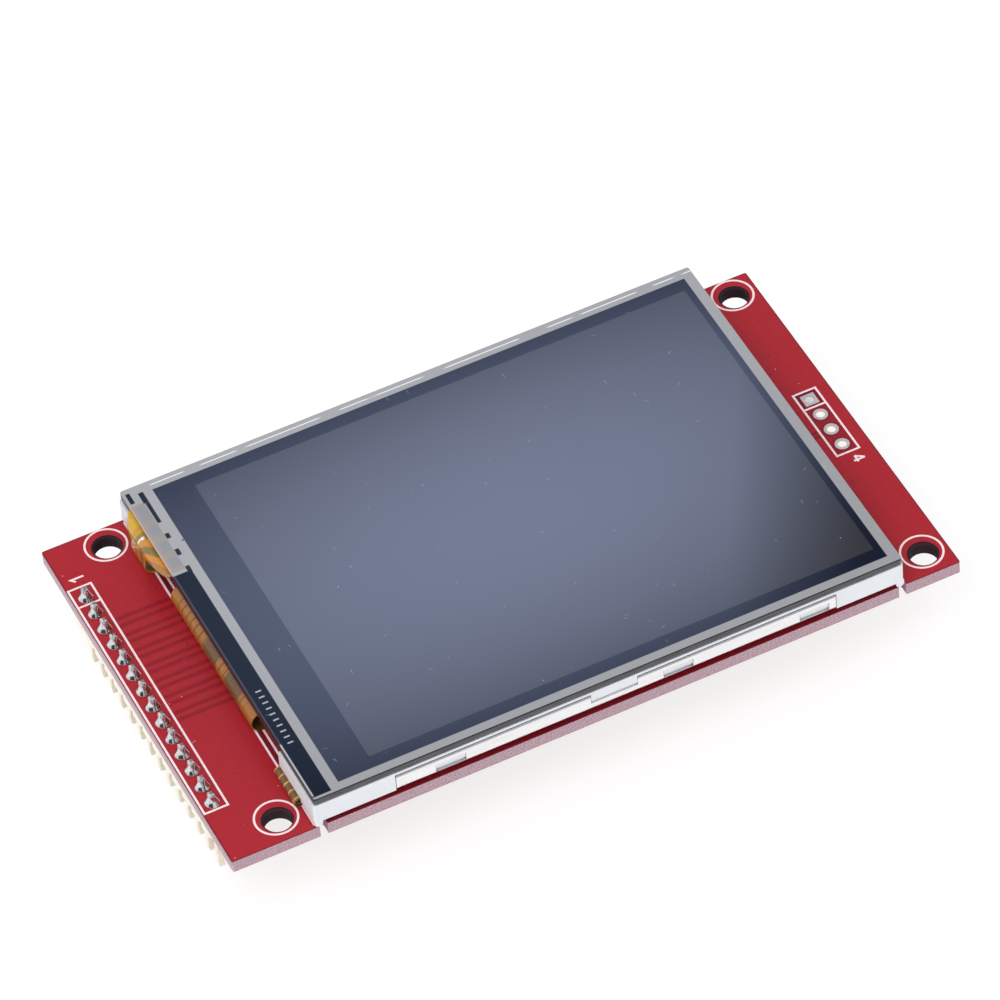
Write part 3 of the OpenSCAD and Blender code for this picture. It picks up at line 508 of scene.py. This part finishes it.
def lampFlexMaterial():
    # the lamp circuit: brown film with gold lines round the bend, one to a step of y
    material, p = newPaint("lampFlex")
    y = p.place()[1]
    fine = p.noise(3.0, 3)
    step = flexLook["lampStep"]
    lines = p.band(abs((y + fine * 0.25) % step - step / 2), -0.09, 0.09, 0.05)
    colour = p.mix(p.above(fine, 0.5, 0.2), flexLook["filmDark"], flexLook["brown"])
    colour = p.mix(lines * 0.8, colour, flexLook["gold"])
    p.finish(colour, 0.32 + fine * 0.1, 0.0, p.bump(lines + fine * 0.3, 0.25, 0.00004),
             {"Coat Weight": 0.3, "Coat Roughness": 0.2})
    return material


tailLook = {"film": shade(198, 128, 38), "gold": shade(200, 158, 34),
            "olive": shade(112, 100, 50), "brown": shade(150, 104, 58),
            "mark": shade(244, 240, 232), "out": 1.15, "thick": 0.08,
            "lanes": ((-1.2, -0.16, "brown", 0.8), (0.08, 0.32, "olive", 0.9),
                      (0.5, 0.66, "olive", 0.75), (0.72, 0.8, "brown", 0.4)),
            "stem": ((3.55, 4.2, 17.75, 17.95), (4.05, 4.2, 17.55, 17.95))}


def tailMaterial():
    # amber film over olive copper: lane t leaves the pads at y = 11.2 + 10.9 t and draws in
    # to y = 16.2 + 3.7 t, following (drop / 1.1) ^ 0.25; t picks the copper, and the stem mark
    # is two boxes of z and y
    material, p = newPaint("touchTail")
    y, z = p.place()[1:]
    fine = p.noise(3.0, 3)
    drop = p.most((filmLow[2] + 0.05 - z) / 1.1, 0.0001)
    drawn = p.math("MINIMUM", drop ** 0.25, 1.0)
    lane = (y - 11.2 - drawn * 5.0) / (10.9 - drawn * 7.2)
    colour = p.mix(p.above(lane, 0.62, 0.25), tailLook["film"], tailLook["gold"])
    for low, high, tone, by in tailLook["lanes"]:
        colour = p.mix(p.band(lane, low, high, 0.03) * by, colour, tailLook[tone])
    stem = p.most(*(p.patch(z, y, *stroke, 0.04) for stroke in tailLook["stem"]))
    colour = p.mix(stem * 0.95, colour, tailLook["mark"])
    p.finish(colour, 0.22 + fine * 0.1, 0.0, p.bump(fine, 0.25, 0.00003),
             {"Coat Weight": 0.5, "Coat Roughness": 0.1, "Subsurface Weight": 0.1,
              "Subsurface Scale": 0.0005})
    return material


def clearMaterial(name, tint, other, ribs=0.0):
    # clear sheet shown milky: fine ribs across x, or a faint cloud
    material, p = newPaint(name)
    x = p.place()[0]
    cloud = p.noise(0.8, 3)
    pattern = p.math("SINE", x * ribs) * 0.5 + 0.5 if ribs else cloud
    p.finish(p.mix(pattern, tint, other), 0.16 + cloud * 0.12, 0.0, p.bump(pattern, 0.2, 0.00003),
             {"Transmission Weight": 0.35, "IOR": 1.49})
    return material


print("shader maths ready")

looks = {
    "board": boardMaterial(),
    "header_body": plasticMaterial("headerPlastic", shade(246, 244, 230), shade(240, 236, 216),
                                   0.42),
    "header_solder": solderMaterial(),
    "spare_pad_rings": plasticMaterial("padTin", shade(200, 198, 202), shade(164, 160, 166), 0.3,
                                       2.4, 0.6, 0.4),
    "mounting_tape": plasticMaterial("foamTape", shade(214, 214, 210), shade(186, 186, 182), 0.8,
                                     2.0, 0.6, 0.6),
    "metal_tray": trayMaterial(),
    "backlight_frame": plasticMaterial("framePlastic", shade(230, 233, 238), shade(220, 224, 230),
                                       0.36, 1.2, 0.2),
    "reflector_sheet": plasticMaterial("reflectorFilm", shade(240, 240, 240),
                                       shade(226, 228, 230), 0.3),
    "light_guide": clearMaterial("acrylic", shade(226, 236, 238), shade(210, 226, 230)),
    "backlight_leds": plasticMaterial("lampPackage", shade(236, 230, 190), shade(226, 196, 90),
                                      0.35, 1.5, 0.5),
    "diffuser_sheet": plasticMaterial("diffuserFilm", shade(234, 236, 238), shade(220, 222, 224),
                                      0.6, 6.0),
    "prism_sheet_lower": clearMaterial("prismFilmLower", shade(222, 226, 230),
                                       shade(196, 202, 208), 40.0),
    "prism_sheet_upper": clearMaterial("prismFilmUpper", shade(224, 228, 232),
                                       shade(198, 204, 210), 44.0),
    "rim_tape": plasticMaterial("blackTape", shade(22, 22, 24), shade(34, 34, 36), 0.7),
    "rear_polarizer": plasticMaterial("polarizerRear", shade(58, 62, 68), shade(50, 54, 62), 0.2),
    "front_polarizer": plasticMaterial("polarizerFront", shade(56, 60, 68), shade(48, 52, 60), 0.2),
    "rear_glass": edgeMaterial("displayGlassRear", shade(92, 106, 108), shade(140, 156, 158),
                               0.12),
    "front_glass": edgeMaterial("displayGlassFront", shade(88, 102, 106), shade(136, 152, 156),
                                0.12),
    "driver_chip": metalMaterial("silicon", shade(96, 96, 104), shade(122, 122, 132), 0.12, 2.0),
    "display_flex": flexMaterial(),
    "backlight_flex": lampFlexMaterial(),
    "panel_gasket": edgeMaterial("gasketTape", shade(40, 41, 44), shade(66, 67, 70), 0.6),
    # painted shade: the touch glass's wall at the film's flex end is near black
    "touch_glass": edgeMaterial("touchGlass", shade(70, 71, 75), shade(94, 95, 100), 0.16,
                                shade(34, 26, 32)),
    # painted shade: the silver ink spacer is near black, a shadow line under the film
    "touch_spacer": edgeMaterial("silverInkPaintedShade", shade(20, 20, 22), shade(34, 34, 38), 0.4),
    "touch_film": filmMaterial(),
    "touch_tail": tailMaterial(),
    "card_socket_shell": metalMaterial("socketSteel", shade(168, 168, 170), shade(208, 208, 210),
                                       0.3, 1.0, (4.0, 0.4, 0.4)),
    "card_socket_contacts": metalMaterial("contactGold", shade(196, 152, 82),
                                          shade(234, 200, 128), 0.22, 3.0),
    "chip_resistors": plasticMaterial("resistorBlack", shade(30, 30, 32), shade(46, 46, 50), 0.25),
    "chip_capacitors": plasticMaterial("capacitorCeramic", shade(180, 150, 112),
                                       shade(160, 130, 94), 0.5),
}
socketPlastic = plasticMaterial("socketPlastic", shade(34, 34, 36), shade(48, 48, 50), 0.45)
chipPlastic = plasticMaterial("chipPlastic", shade(36, 36, 38), shade(54, 54, 56), 0.55, 6.0,
                              0.5, 0.4)
leadTin = metalMaterial("leadTin", shade(170, 170, 172), shade(214, 214, 216), 0.28, 2.5)
pinPlating = pinMaterial()
shared = {"card_socket_body": socketPlastic, "card_socket_floor": socketPlastic,
          "card_socket_rails": socketPlastic, "touch_controller": chipPlastic,
          "voltage_regulator": chipPlastic, "backlight_transistor": chipPlastic,
          "touch_controller_leads": leadTin, "voltage_regulator_leads": leadTin,
          "backlight_transistor_leads": leadTin, "chip_terminations": leadTin,
          "flex_solder": looks["header_solder"]}
# every other node is one of the header's pins
for name, thing in nodes.items():
    material = looks.get(name) or shared.get(name) or pinPlating
    thing.data.materials.clear()
    thing.data.materials.append(material)
print("materials on", len(nodes), "nodes")


def ribbon(path, width, low, high, closed=False):
    # a flat bar: its sides are P(i) + m w / 2 and P(i) - m w / 2, m being the mitred normal
    # (n0 + n1) / (1 + n0.n1) of the two steps that meet at P(i); the section runs left low,
    # left high, right high, right low
    points = np.asarray(path, float)
    if closed:
        before, after = np.roll(points, 1, 0), np.roll(points, -1, 0)
    else:
        before = np.vstack([2 * points[:1] - points[1:2], points[:-1]])
        after = np.vstack([points[1:], 2 * points[-1:] - points[-2:-1]])

    def sideways(step):
        step = step / np.linalg.norm(step, axis=1)[:, None]
        return np.stack([-step[:, 1], step[:, 0]], 1)

    first, second = sideways(points - before), sideways(after - points)
    mitre = (first + second) / (1 + (first * second).sum(1))[:, None] * width / 2
    left, right = points + mitre, points - mitre
    count = len(points)
    section = np.zeros((count, 4, 3))
    section[:, 0, :2] = section[:, 1, :2] = left
    section[:, 2, :2] = section[:, 3, :2] = right
    section[:, [0, 3], 2] = low
    section[:, [1, 2], 2] = high
    i = np.arange(count if closed else count - 1)[:, None]
    j = (i + 1) % count
    k = np.arange(4)[None, :]
    m = (k + 1) % 4
    faces = np.stack([i * 4 + k, i * 4 + m, j * 4 + m, j * 4 + k], -1).reshape(-1, 4)
    if not closed:
        last = (count - 1) * 4
        faces = np.vstack([faces, [[3, 2, 1, 0], [last, last + 1, last + 2, last + 3]]])
    if high < low:
        faces = faces[:, ::-1]
    return section.reshape(-1, 3), faces


def ring(x, y, r):
    # circle (x + r cos t, y + r sin t) in 64 points
    t = np.arange(64) / 64 * 2 * np.pi
    return np.stack([x + r * np.cos(t), y + r * np.sin(t)], 1)


def turned(profile, centres, steps=20, wobble=0.0):
    # a profile (r, z) turned round each centre: (x + r cos t, y + r sin t, z); with a wobble,
    # r grows by (1 + wobble sin(3 t + 2.4 n)) for the n-th centre
    profile, centres = np.asarray(profile, float), np.asarray(centres, float)
    t = np.arange(steps) / steps * 2 * np.pi
    r, z = profile[:, 0], profile[:, 1]
    grow = 1 + wobble * np.sin(3 * t + 2.4 * np.arange(len(centres))[:, None])
    grid = np.stack([r[:, None] * (grow * np.cos(t))[:, None],
                     r[:, None] * (grow * np.sin(t))[:, None],
                     np.broadcast_to(z[:, None], (len(centres), len(z), steps))], -1)
    grid[..., :2] += centres[:, None, None]
    i = np.arange(len(z) - 1)[:, None] * steps
    k = np.arange(steps)[None, :]
    faces = np.stack([i + k, i + (k + 1) % steps, i + steps + (k + 1) % steps, i + steps + k],
                     -1).reshape(-1, 4)
    return [(one.reshape(-1, 3), faces) for one in grid]


def makePiece(name, parts, material):
    # several meshes of four-sided faces, in millimetres, as one object at the origin
    vertices = np.vstack([v for v, f in parts]) * mm
    starts = np.cumsum([0] + [len(v) for v, f in parts[:-1]])
    faces = np.vstack([f + start for (v, f), start in zip(parts, starts)])
    mesh = bpy.data.meshes.new(name)
    mesh.from_pydata(vertices.tolist(), [], faces.tolist())
    mesh.update()
    thing = bpy.data.objects.new(name, mesh)
    bpy.context.scene.collection.objects.link(thing)
    thing.data.materials.append(material)
    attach(thing, "root")
    return thing


# the rings on top stand a little off their holes, by the offset in y
printLook = {"line": 0.24, "height": 0.02, "ringR": 2.33, "offset": 0.42,
             "ink": shade(250, 230, 233), "inkThin": shade(232, 186, 192),
             "panelLines": (-0.1, 0.7), "panelReach": 24.6,
             "one": (-42.2, 19.0, 1.5, 1), "four": (38.2, -5.7, 1.3, 3)}
numerals = {"1": [[(0.1, 0.72), (0.4, 1.0), (0.4, 0.0)]],
            "4": [[(0.5, 0.0), (0.5, 1.0)], [(0.5, 1.0), (0.0, 0.3)], [(0.0, 0.3), (0.72, 0.3)]]}


def inkMaterial():
    # white ink, thin and pink where a fine noise is high
    material, p = newPaint("printInk")
    fine = p.noise(2.2, 4, 0.65)
    p.finish(p.mix(p.above(fine, 0.6, 0.12) * 0.7, printLook["ink"], printLook["inkThin"]),
             0.5 + fine * 0.2, 0.0, p.bump(fine, 0.3, 0.00003))
    return material


def oblong(x0, x1, y0, y1):
    # the corners of a box, in turn
    return [(x0, y0), (x1, y0), (x1, y1), (x0, y1)]


def numeral(text, x, y, size, quarters):
    # strokes of a numeral, turned by quarter turns about its corner:
    # (x + a cos t - b sin t, y + a sin t + b cos t)
    c, s = round(math.cos(quarters * math.pi / 2)), round(math.sin(quarters * math.pi / 2))
    strokes = []
    for stroke in numerals[text]:
        a, b = (np.asarray(stroke) * size).T
        strokes.append(np.stack([x + a * c - b * s, y + a * s + b * c], 1))
    return strokes


ink = inkMaterial()


def holeRings(low, high, shift):
    # a printed circle round each mounting hole
    radius, line = printLook["ringR"], printLook["line"]
    return [ribbon(ring(a * holeX, b * holeY + shift, radius), line, low, high, True)
            for a in (-1, 1) for b in (-1, 1)]


def boardPrintTop():
    # rings, a box round the header and round the spare pads with a line across it at the first
    # one, two lines at the display's end, and the numbers of the first pin and the last pad
    line, top = printLook["line"], printLook["height"]
    parts = holeRings(-0.01, top, printLook["offset"])
    strokes = []
    for box, across in (("pinBox", "pinLine"), ("spareBox", "spareLine")):
        x0, x1, y0, y1 = boardPlan[box]
        y = boardPlan[across]
        parts.append(ribbon(oblong(x0, x1, y0, y1), line, -0.01, top, True))
        strokes.append([(x0 + 0.1, y), (x1 - 0.1, y)])
    reach = printLook["panelReach"]
    for out in printLook["panelLines"]:
        strokes.append([(filmLow[0] + out, -reach), (filmLow[0] + out, reach)])
    strokes += numeral("1", *printLook["one"]) + numeral("4", *printLook["four"])
    # crossing strokes differ a little in height, so that no two faces lie in one plane
    parts += [ribbon(stroke, line, -0.01, top + 0.001 * k) for k, stroke in enumerate(strokes, 1)]
    return makePiece("boardPrintTop", parts, ink)


# each clear is the gap from a part to the line round it: low x, high x, low y, high y
underLook = {"line": 0.2, "fineLine": 0.15, "depth": 0.02, "chipReach": 2.2,
             "socketClear": (0.5, 0.4, 0.5, 0.5), "controllerClear": (0.6, 0.6, 0.5, 0.5),
             "chipClear": (0.55, 0.55, 0.35, 0.35), "pinBox": (-44.75, -41.6, -18.2, 18.2)}


def islands(name):
    # the separate solids of a node as plan boxes: low x, low y, high x, high y; what lies within
    # the reach of a solid's first vertex belongs to it
    mesh = nodes[name].data
    points = np.empty(len(mesh.vertices) * 3)
    mesh.vertices.foreach_get("co", points)
    points = points.reshape(-1, 3)[:, :2] / mm
    boxes = []
    while len(points):
        near = np.abs(points - points[0]).max(1) < underLook["chipReach"]
        boxes.append((*points[near].min(0), *points[near].max(0)))
        points = points[~near]
    return boxes


def outlineRound(low, high, clear):
    # a box's corners, moved out by its clearances
    return oblong(low[0] - clear[0], high[0] + clear[1], low[1] - clear[2], high[1] + clear[3])


def boardPrintUnder():
    # rings, boxes round the socket, the controller, the spare pads and the header, and a fine
    # box round each chip
    look, low = underLook, boardLow[2]
    deep = low - look["depth"]
    parts = holeRings(low + 0.01, deep, 0)
    outlines = [outlineRound(*boxOf("card_socket_shell"), look["socketClear"]),
                outlineRound(*boxOf("touch_controller_leads"), look["controllerClear"]),
                oblong(*boardPlan["spareBox"]), oblong(*look["pinBox"])]
    parts += [ribbon(outline, look["line"], low + 0.01, deep, True) for outline in outlines]
    for box in islands("chip_resistors") + islands("chip_capacitors"):
        outline = outlineRound(box[:2], box[2:], look["chipClear"])
        parts.append(ribbon(outline, look["fineLine"], low + 0.01, deep, True))
    return makePiece("boardPrintUnder", parts, ink)


boardPrintTop()
boardPrintUnder()


traceLook = {"width": 0.3, "depth": 0.03, "start": 0.9, "bend": -38.5, "bendStep": 0.9,
             "cardPins": range(4, 10), "cardLane": -7.5, "cardStep": 0.8, "cardEnd": 6.4,
             "chipLane": 0.93, "chipEnd": -12.0, "chipStep": 2.0}


def tracesUnder():
    # copper under the mask, one trace a pin: straight, a 45 degree jog into its lane, and
    # straight again; the card's pins reach the socket, the others end at three places
    look, low = traceLook, boardLow[2]
    parts = []
    for n in range(pinCount):
        y = firstPin - n * pinPitch
        if n in look["cardPins"]:
            lane = look["cardLane"] - (n - look["cardPins"].start) * look["cardStep"]
            end = look["cardEnd"]
        else:
            lane = y * look["chipLane"]
            end = look["chipEnd"] + (n % 3) * look["chipStep"]
        bend = look["bend"] + (n % 7) * look["bendStep"]
        route = [(headerX + look["start"], y), (bend, y), (bend + abs(lane - y), lane), (end, lane)]
        parts.append(ribbon(route, look["width"], low + 0.01, low - look["depth"]))
    return makePiece("boardTracesUnder", parts, looks["board"])


def viaMaterial():
    # mask that sinks into a drilled hole: dark in the dimple, pale on the collar, by height
    material, p = newPaint("viaMask")
    z = p.place()[2]
    out = p.most(z, boardLow[2] - z)
    tone = p.mix(p.above(out, 0.012, 0.006), boardLook["maskDeep"], boardLook["maskPale"])
    fine = p.noise(5.0, 2)
    p.finish(p.mix(fine * 0.3, tone, boardLook["maskDark"]), 0.25 + fine * 0.1, 0.0,
             p.bump(fine, 0.2, 0.00002))
    return material


# a via's profile from its collar in, as radius and height over the board's face
viaPlan = {"profile": [(0.26, -0.01), (0.2, 0.02), (0.13, 0.02), (0.06, 0.005), (0.0, 0.004)],
           "top": [(-36.1, 14.2), (-37.2, 14.3), (-36.2, 10.3), (-38.4, 7.6), (-36.5, 5.2),
                   (-37.6, 3.1), (-36.4, 2.4), (-36.3, 0.1), (-37.5, -2.6), (-36.6, -9.4),
                   (-39.6, -14.0), (36.6, -8.9), (37.4, 12.4), (36.3, 9.8)],
           "under": [(-32.0, 9.0), (-30.5, -6.0), (-14.0, 8.0), (-12.5, -12.5), (-3.0, 11.0),
                     (2.5, 17.0), (4.0, -19.0), (-20.0, -21.0), (38.0, 10.0), (37.0, -11.0),
                     (-34.0, 20.5)]}


def vias():
    # tented vias: a low collar round a dimple, turned round each place; the profile is mirrored
    # and reversed for the lower face
    profile = viaPlan["profile"]
    under = [(r, boardLow[2] - height) for r, height in reversed(profile)]
    parts = turned(profile, viaPlan["top"]) + turned(under, viaPlan["under"])
    return makePiece("boardVias", parts, viaMaterial())


tracesUnder()
vias()
print("print, traces and vias made")


jointLook = {"foot": 0.9, "neck": 0.42, "height": 1.3, "rim": 0.04, "rows": 12, "steps": 36,
             "wobble": 0.03, "shoulder": [(0.36, 0.03), (0.26, 0.035)]}


def solderJoints():
    # fillets that climb the pins: r = neck + (foot - neck) (1 - h)^2 and
    # z = rim + h (height - rim) for h from 0 to 1, then a small shoulder that closes inside
    # the pin
    look = jointLook
    h = np.linspace(0, 1, look["rows"])
    r = look["neck"] + (look["foot"] - look["neck"]) * (1 - h) ** 2
    z = look["rim"] + h * (look["height"] - look["rim"])
    profile = [(look["foot"], 0.0), *zip(r, z)]
    profile += [(radius, look["height"] + over) for radius, over in look["shoulder"]]
    centres = [(headerX, firstPin - n * pinPitch) for n in range(pinCount)]
    joints = turned(profile, centres, look["steps"], look["wobble"])
    thing = makePiece("headerSolderJoints", joints, looks["header_solder"])
    thing.data.shade_smooth()
    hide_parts("header_solder")
    return thing


def touchTail():
    # one sheet on a grid: its section goes from the bond round the edge and down to the board,
    # and its sides close in with the way s along it: low = 11.15 + 5.05 e((s - 0.3) / 2.2) and
    # high = 22.15 - 1.1 e((s - 0.1) / 1.0) - 1.2 e((s - 0.8) / 2.0), e being 3 t^2 - 2 t^3
    out, thick = tailLook["out"], tailLook["thick"]
    tailHigh = boxOf("touch_tail")[1]
    edge, top, bottom = filmLow[0], tailHigh[2] - thick / 2, thick / 2
    arc = np.linspace(0, np.pi / 2, 14)
    flat, run = np.linspace(1.6, 0.1, 4), np.linspace(0.2, tailHigh[0] - edge, 4)
    straight = np.linspace(top - out, bottom + out, 10)[1:-1]
    x = np.concatenate([edge + flat, edge - out * np.sin(arc), np.full(len(straight), edge - out),
                        edge - out * np.cos(arc), edge + run])
    z = np.concatenate([np.full(4, top), top - out + out * np.cos(arc), straight,
                        bottom + out - out * np.sin(arc), np.full(4, bottom)])
    s = np.concatenate([[0], np.cumsum(np.hypot(np.diff(x), np.diff(z)))]) - flat[0]

    def ease(t):
        t = np.clip(t, 0, 1)
        return 3 * t ** 2 - 2 * t ** 3

    low = 11.15 + 5.05 * ease((s - 0.3) / 2.2)
    high = 22.15 - 1.1 * ease((s - 0.1) / 1.0) - 1.2 * ease((s - 0.8) / 2.0)
    across = np.linspace(0, 1, 25)
    y = low[:, None] + (high - low)[:, None] * across
    # the free corners of the bulge lie a little closer to the edge than its middle
    slack = np.exp(-((s - 1.9) / 1.4) ** 2)[:, None] * (np.abs(across - 0.55) * 1.9) ** 2 * 0.1
    grid = np.stack([np.broadcast_to(x[:, None], y.shape) + slack, y,
                     np.broadcast_to(z[:, None], y.shape)], -1)
    rows, columns = y.shape
    i, k = np.arange(rows - 1)[:, None] * columns, np.arange(columns - 1)[None, :]
    faces = np.stack([i + k, i + k + 1, i + columns + k + 1, i + columns + k], -1).reshape(-1, 4)
    thing = makePiece("touchTailFilm", [(grid.reshape(-1, 3), faces)], looks["touch_tail"])
    thing.data.shade_smooth()
    solid = thing.modifiers.new("thickness", "SOLIDIFY")
    solid.thickness, solid.offset = thick * mm, 0
    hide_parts("touch_tail")
    return thing


solderJoints()
touchTail()
print("solder joints and tail made")


# the camera's places are in millimetres and its roll is in degrees
cameraPlan = {"place": (-192.52, -473.31, 557.07), "target": (2.03, 7.42, 0.0), "roll": 5.43,
              "lens": 252.48, "sensor": 36, "clip": (0.01, 20)}
optics = bpy.data.cameras.new("camera")
optics.lens, optics.sensor_width = cameraPlan["lens"], cameraPlan["sensor"]
optics.clip_start, optics.clip_end = cameraPlan["clip"]
camera = bpy.data.objects.new("camera", optics)
bpy.context.scene.collection.objects.link(camera)
place = Vector(cameraPlan["place"]) * mm
ahead = (Vector(cameraPlan["target"]) * mm - place).normalized()
level = ahead.cross(Vector((0, 0, 1))).normalized()
upright = level.cross(ahead)
roll = math.radians(cameraPlan["roll"])
up = upright * math.cos(roll) + level * math.sin(roll)
right = ahead.cross(up)
turn = Matrix((right, up, -ahead)).transposed()
camera.matrix_world = Matrix.Translation(place) @ turn.to_4x4()
bpy.context.scene.camera = camera


# the lamp's place is in metres
lightPlan = {"place": (-0.45, -0.35, 0.9), "size": 0.6, "power": 3.2}
lamp = bpy.data.lights.new("softLight", "AREA")
lamp.shape, lamp.size, lamp.energy = "SQUARE", lightPlan["size"], lightPlan["power"]
lampObject = bpy.data.objects.new("softLight", lamp)
lampObject.location = lightPlan["place"]
lampObject.rotation_euler = (-Vector(lightPlan["place"])).to_track_quat("-Z", "Y").to_euler()
bpy.context.scene.collection.objects.link(lampObject)


def sheetAt(name, x, y, z, halfX, halfY, material):
    # a level sheet of the stage, in metres
    mesh = bpy.data.meshes.new(name)
    corners = oblong(x - halfX, x + halfX, y - halfY, y + halfY)
    mesh.from_pydata([(*corner, z) for corner in corners], [], [(0, 1, 2, 3)])
    thing = bpy.data.objects.new(name, mesh)
    bpy.context.scene.collection.objects.link(thing)
    thing.data.materials.append(material)
    return thing


floorLook = {"half": 4, "dull": (0.88, 0.88, 0.88), "pale": (0.92, 0.92, 0.92),
             "seenDiffuse": (0.26, 0.26, 0.26), "seenGlow": 0.78, "mirrorGlow": 0.1}


def floorMaterial():
    # pale floor; to the camera it is mostly a glow, so that only a faint shadow shows on it
    material, p = newPaint("floorPale")
    path = p.node("ShaderNodeLightPath")
    isCamera = p.wire(path, "Is Camera Ray")
    seen = p.most(isCamera * floorLook["seenGlow"],
                  p.wire(path, "Is Glossy Ray") * floorLook["mirrorGlow"])
    pale = p.mix(p.noise(0.004, 2), floorLook["dull"], floorLook["pale"])
    colour = p.mix(isCamera, pale, floorLook["seenDiffuse"])
    diffuse = p.node("ShaderNodeBsdfDiffuse", {}, {"Color": colour})
    glow = p.node("ShaderNodeEmission", {}, {"Color": (1.0, 1.0, 1.0), "Strength": seen})
    both = p.node("ShaderNodeAddShader", {}, {0: p.wire(diffuse), 1: p.wire(glow)})
    p.node("ShaderNodeOutputMaterial", {}, {"Surface": p.wire(both)})
    return material


sheetAt("floor", 0, 0, cadLow[2], floorLook["half"], floorLook["half"], floorMaterial())

# a soft card that only reflections see, level over the far side: the ray from the camera's
# mirror image through a point of the screen meets the card, where the screen looks this many
# times as large
cardLook = {"height": 440.0, "middle": (6.0, 0.0), "tint": (1.32, 1.56, 2.36), "halfX": 62.0,
            "halfY": 31.0, "shift": 6.0, "slant": 0.55, "corner": 29.0, "cornerSoft": 8.0}
cardZ = filmHigh[2] + cardLook["height"]
mirrorZ = 2 * filmHigh[2] - cameraPlan["place"][2]
grow = (cardZ - mirrorZ) / (filmHigh[2] - mirrorZ)
cardX, cardY = (at + (middle - at) * grow
                for at, middle in zip(cameraPlan["place"], cardLook["middle"]))


def cardMaterial():
    # with u and v the place on the screen from the card's middle, the glow is
    # (1 - (v / halfY)^2) (1 - ((u + shift) / halfX)^2), less a dark corner where
    # u - slant v passes its limit
    material, p = newPaint("softCard")
    x, y = p.place()[:2]
    u, v = (x - cardX) / grow, (y - cardY) / grow
    across = p.most(1 - (v * v) / cardLook["halfY"] ** 2, 0)
    shifted = u + cardLook["shift"]
    lengthwise = p.most(1 - (shifted * shifted) / cardLook["halfX"] ** 2, 0)
    corner = p.above(u - v * cardLook["slant"], cardLook["corner"], cardLook["cornerSoft"])
    glow = p.node("ShaderNodeEmission", {}, {
        "Color": cardLook["tint"], "Strength": across * lengthwise * (1 - corner)})
    p.node("ShaderNodeOutputMaterial", {}, {"Surface": p.wire(glow)})
    return material


card = sheetAt("softCard", cardX * mm, cardY * mm, cardZ * mm, cardLook["halfX"] * grow * mm,
               cardLook["halfY"] * grow * mm, cardMaterial())
card.visible_camera = card.visible_diffuse = card.visible_shadow = card.visible_transmission = False


# the light from round about, and what mirrors see there: each side is a heading in degrees,
# the cosine at its edge and the softness of that edge, and each From is the ray's own height
# and a softness
skyLook = {"sky": 0.88, "left": 0.15, "far": -0.08, "least": 0.1, "overhead": 0.06,
           "horizon": 0.92, "upFrom": (0.02, 0.02), "dimFrom": (0.42, 0.2),
           "overheadFrom": (0.93, 0.03), "stand": (-138.0, 0.885, 0.02),
           "leftSide": (152.0, 0.74, 0.05), "strip": (-84.0, 0.975, 0.01),
           "rightSide": (10.0, 0.42, 0.04)}


def makeWorld():
    # diffuse light is sky - left x + far y; the camera sees white; mirrors see a dark overhead,
    # a bright left side and horizon, a narrow bright strip on the near side, one dark stand
    # between them and a dark right side
    world = bpy.data.worlds.new("studio")
    bpy.context.scene.world = world
    world.use_nodes = True
    p = Paint(world.node_tree)
    path = p.node("ShaderNodeLightPath")
    ray = p.wire(p.node("ShaderNodeTexCoord"), "Generated")
    heading = p.node("ShaderNodeSeparateXYZ", {}, {0: ray})
    x, y, height = (p.wire(heading, k) for k in range(3))
    isCamera = p.most(p.wire(path, "Is Camera Ray"), p.wire(path, "Is Transmission Ray"))
    isGlossy = p.wire(path, "Is Glossy Ray")
    flat = p.root(x * x + y * y + 0.0001)

    def side(name):
        # 1 where the cosine of the flat angle between the ray and the heading passes the edge
        degrees, edge, soft = skyLook[name]
        turn = math.radians(degrees)
        return p.above((x * math.cos(turn) + y * math.sin(turn)) / flat, edge, soft)

    up = p.above(height, *skyLook["upFrom"])
    low = 1 - p.above(height, *skyLook["dimFrom"])
    notOverhead = 1 - p.above(height, *skyLook["overheadFrom"])
    sides = p.most(low * (1 - side("rightSide") * up * 0.95), side("leftSide") * notOverhead)
    bright = p.most(sides, side("strip") * notOverhead) * (1 - side("stand") * up)
    mirrored = skyLook["overhead"] + bright * (skyLook["horizon"] - skyLook["overhead"])
    soft = p.most(skyLook["sky"] - x * skyLook["left"] + y * skyLook["far"], skyLook["least"])
    strength = isCamera + (1 - isCamera) * (isGlossy * mirrored + (1 - isGlossy) * soft)
    background = p.node("ShaderNodeBackground", {},
                        {"Color": (1.0, 1.0, 1.0), "Strength": strength})
    p.node("ShaderNodeOutputWorld", {}, {"Surface": p.wire(background)})


makeWorld()
bpy.context.scene.view_settings.view_transform = "Standard"
print("camera, light and world set")

bpy.context.view_layer.update()
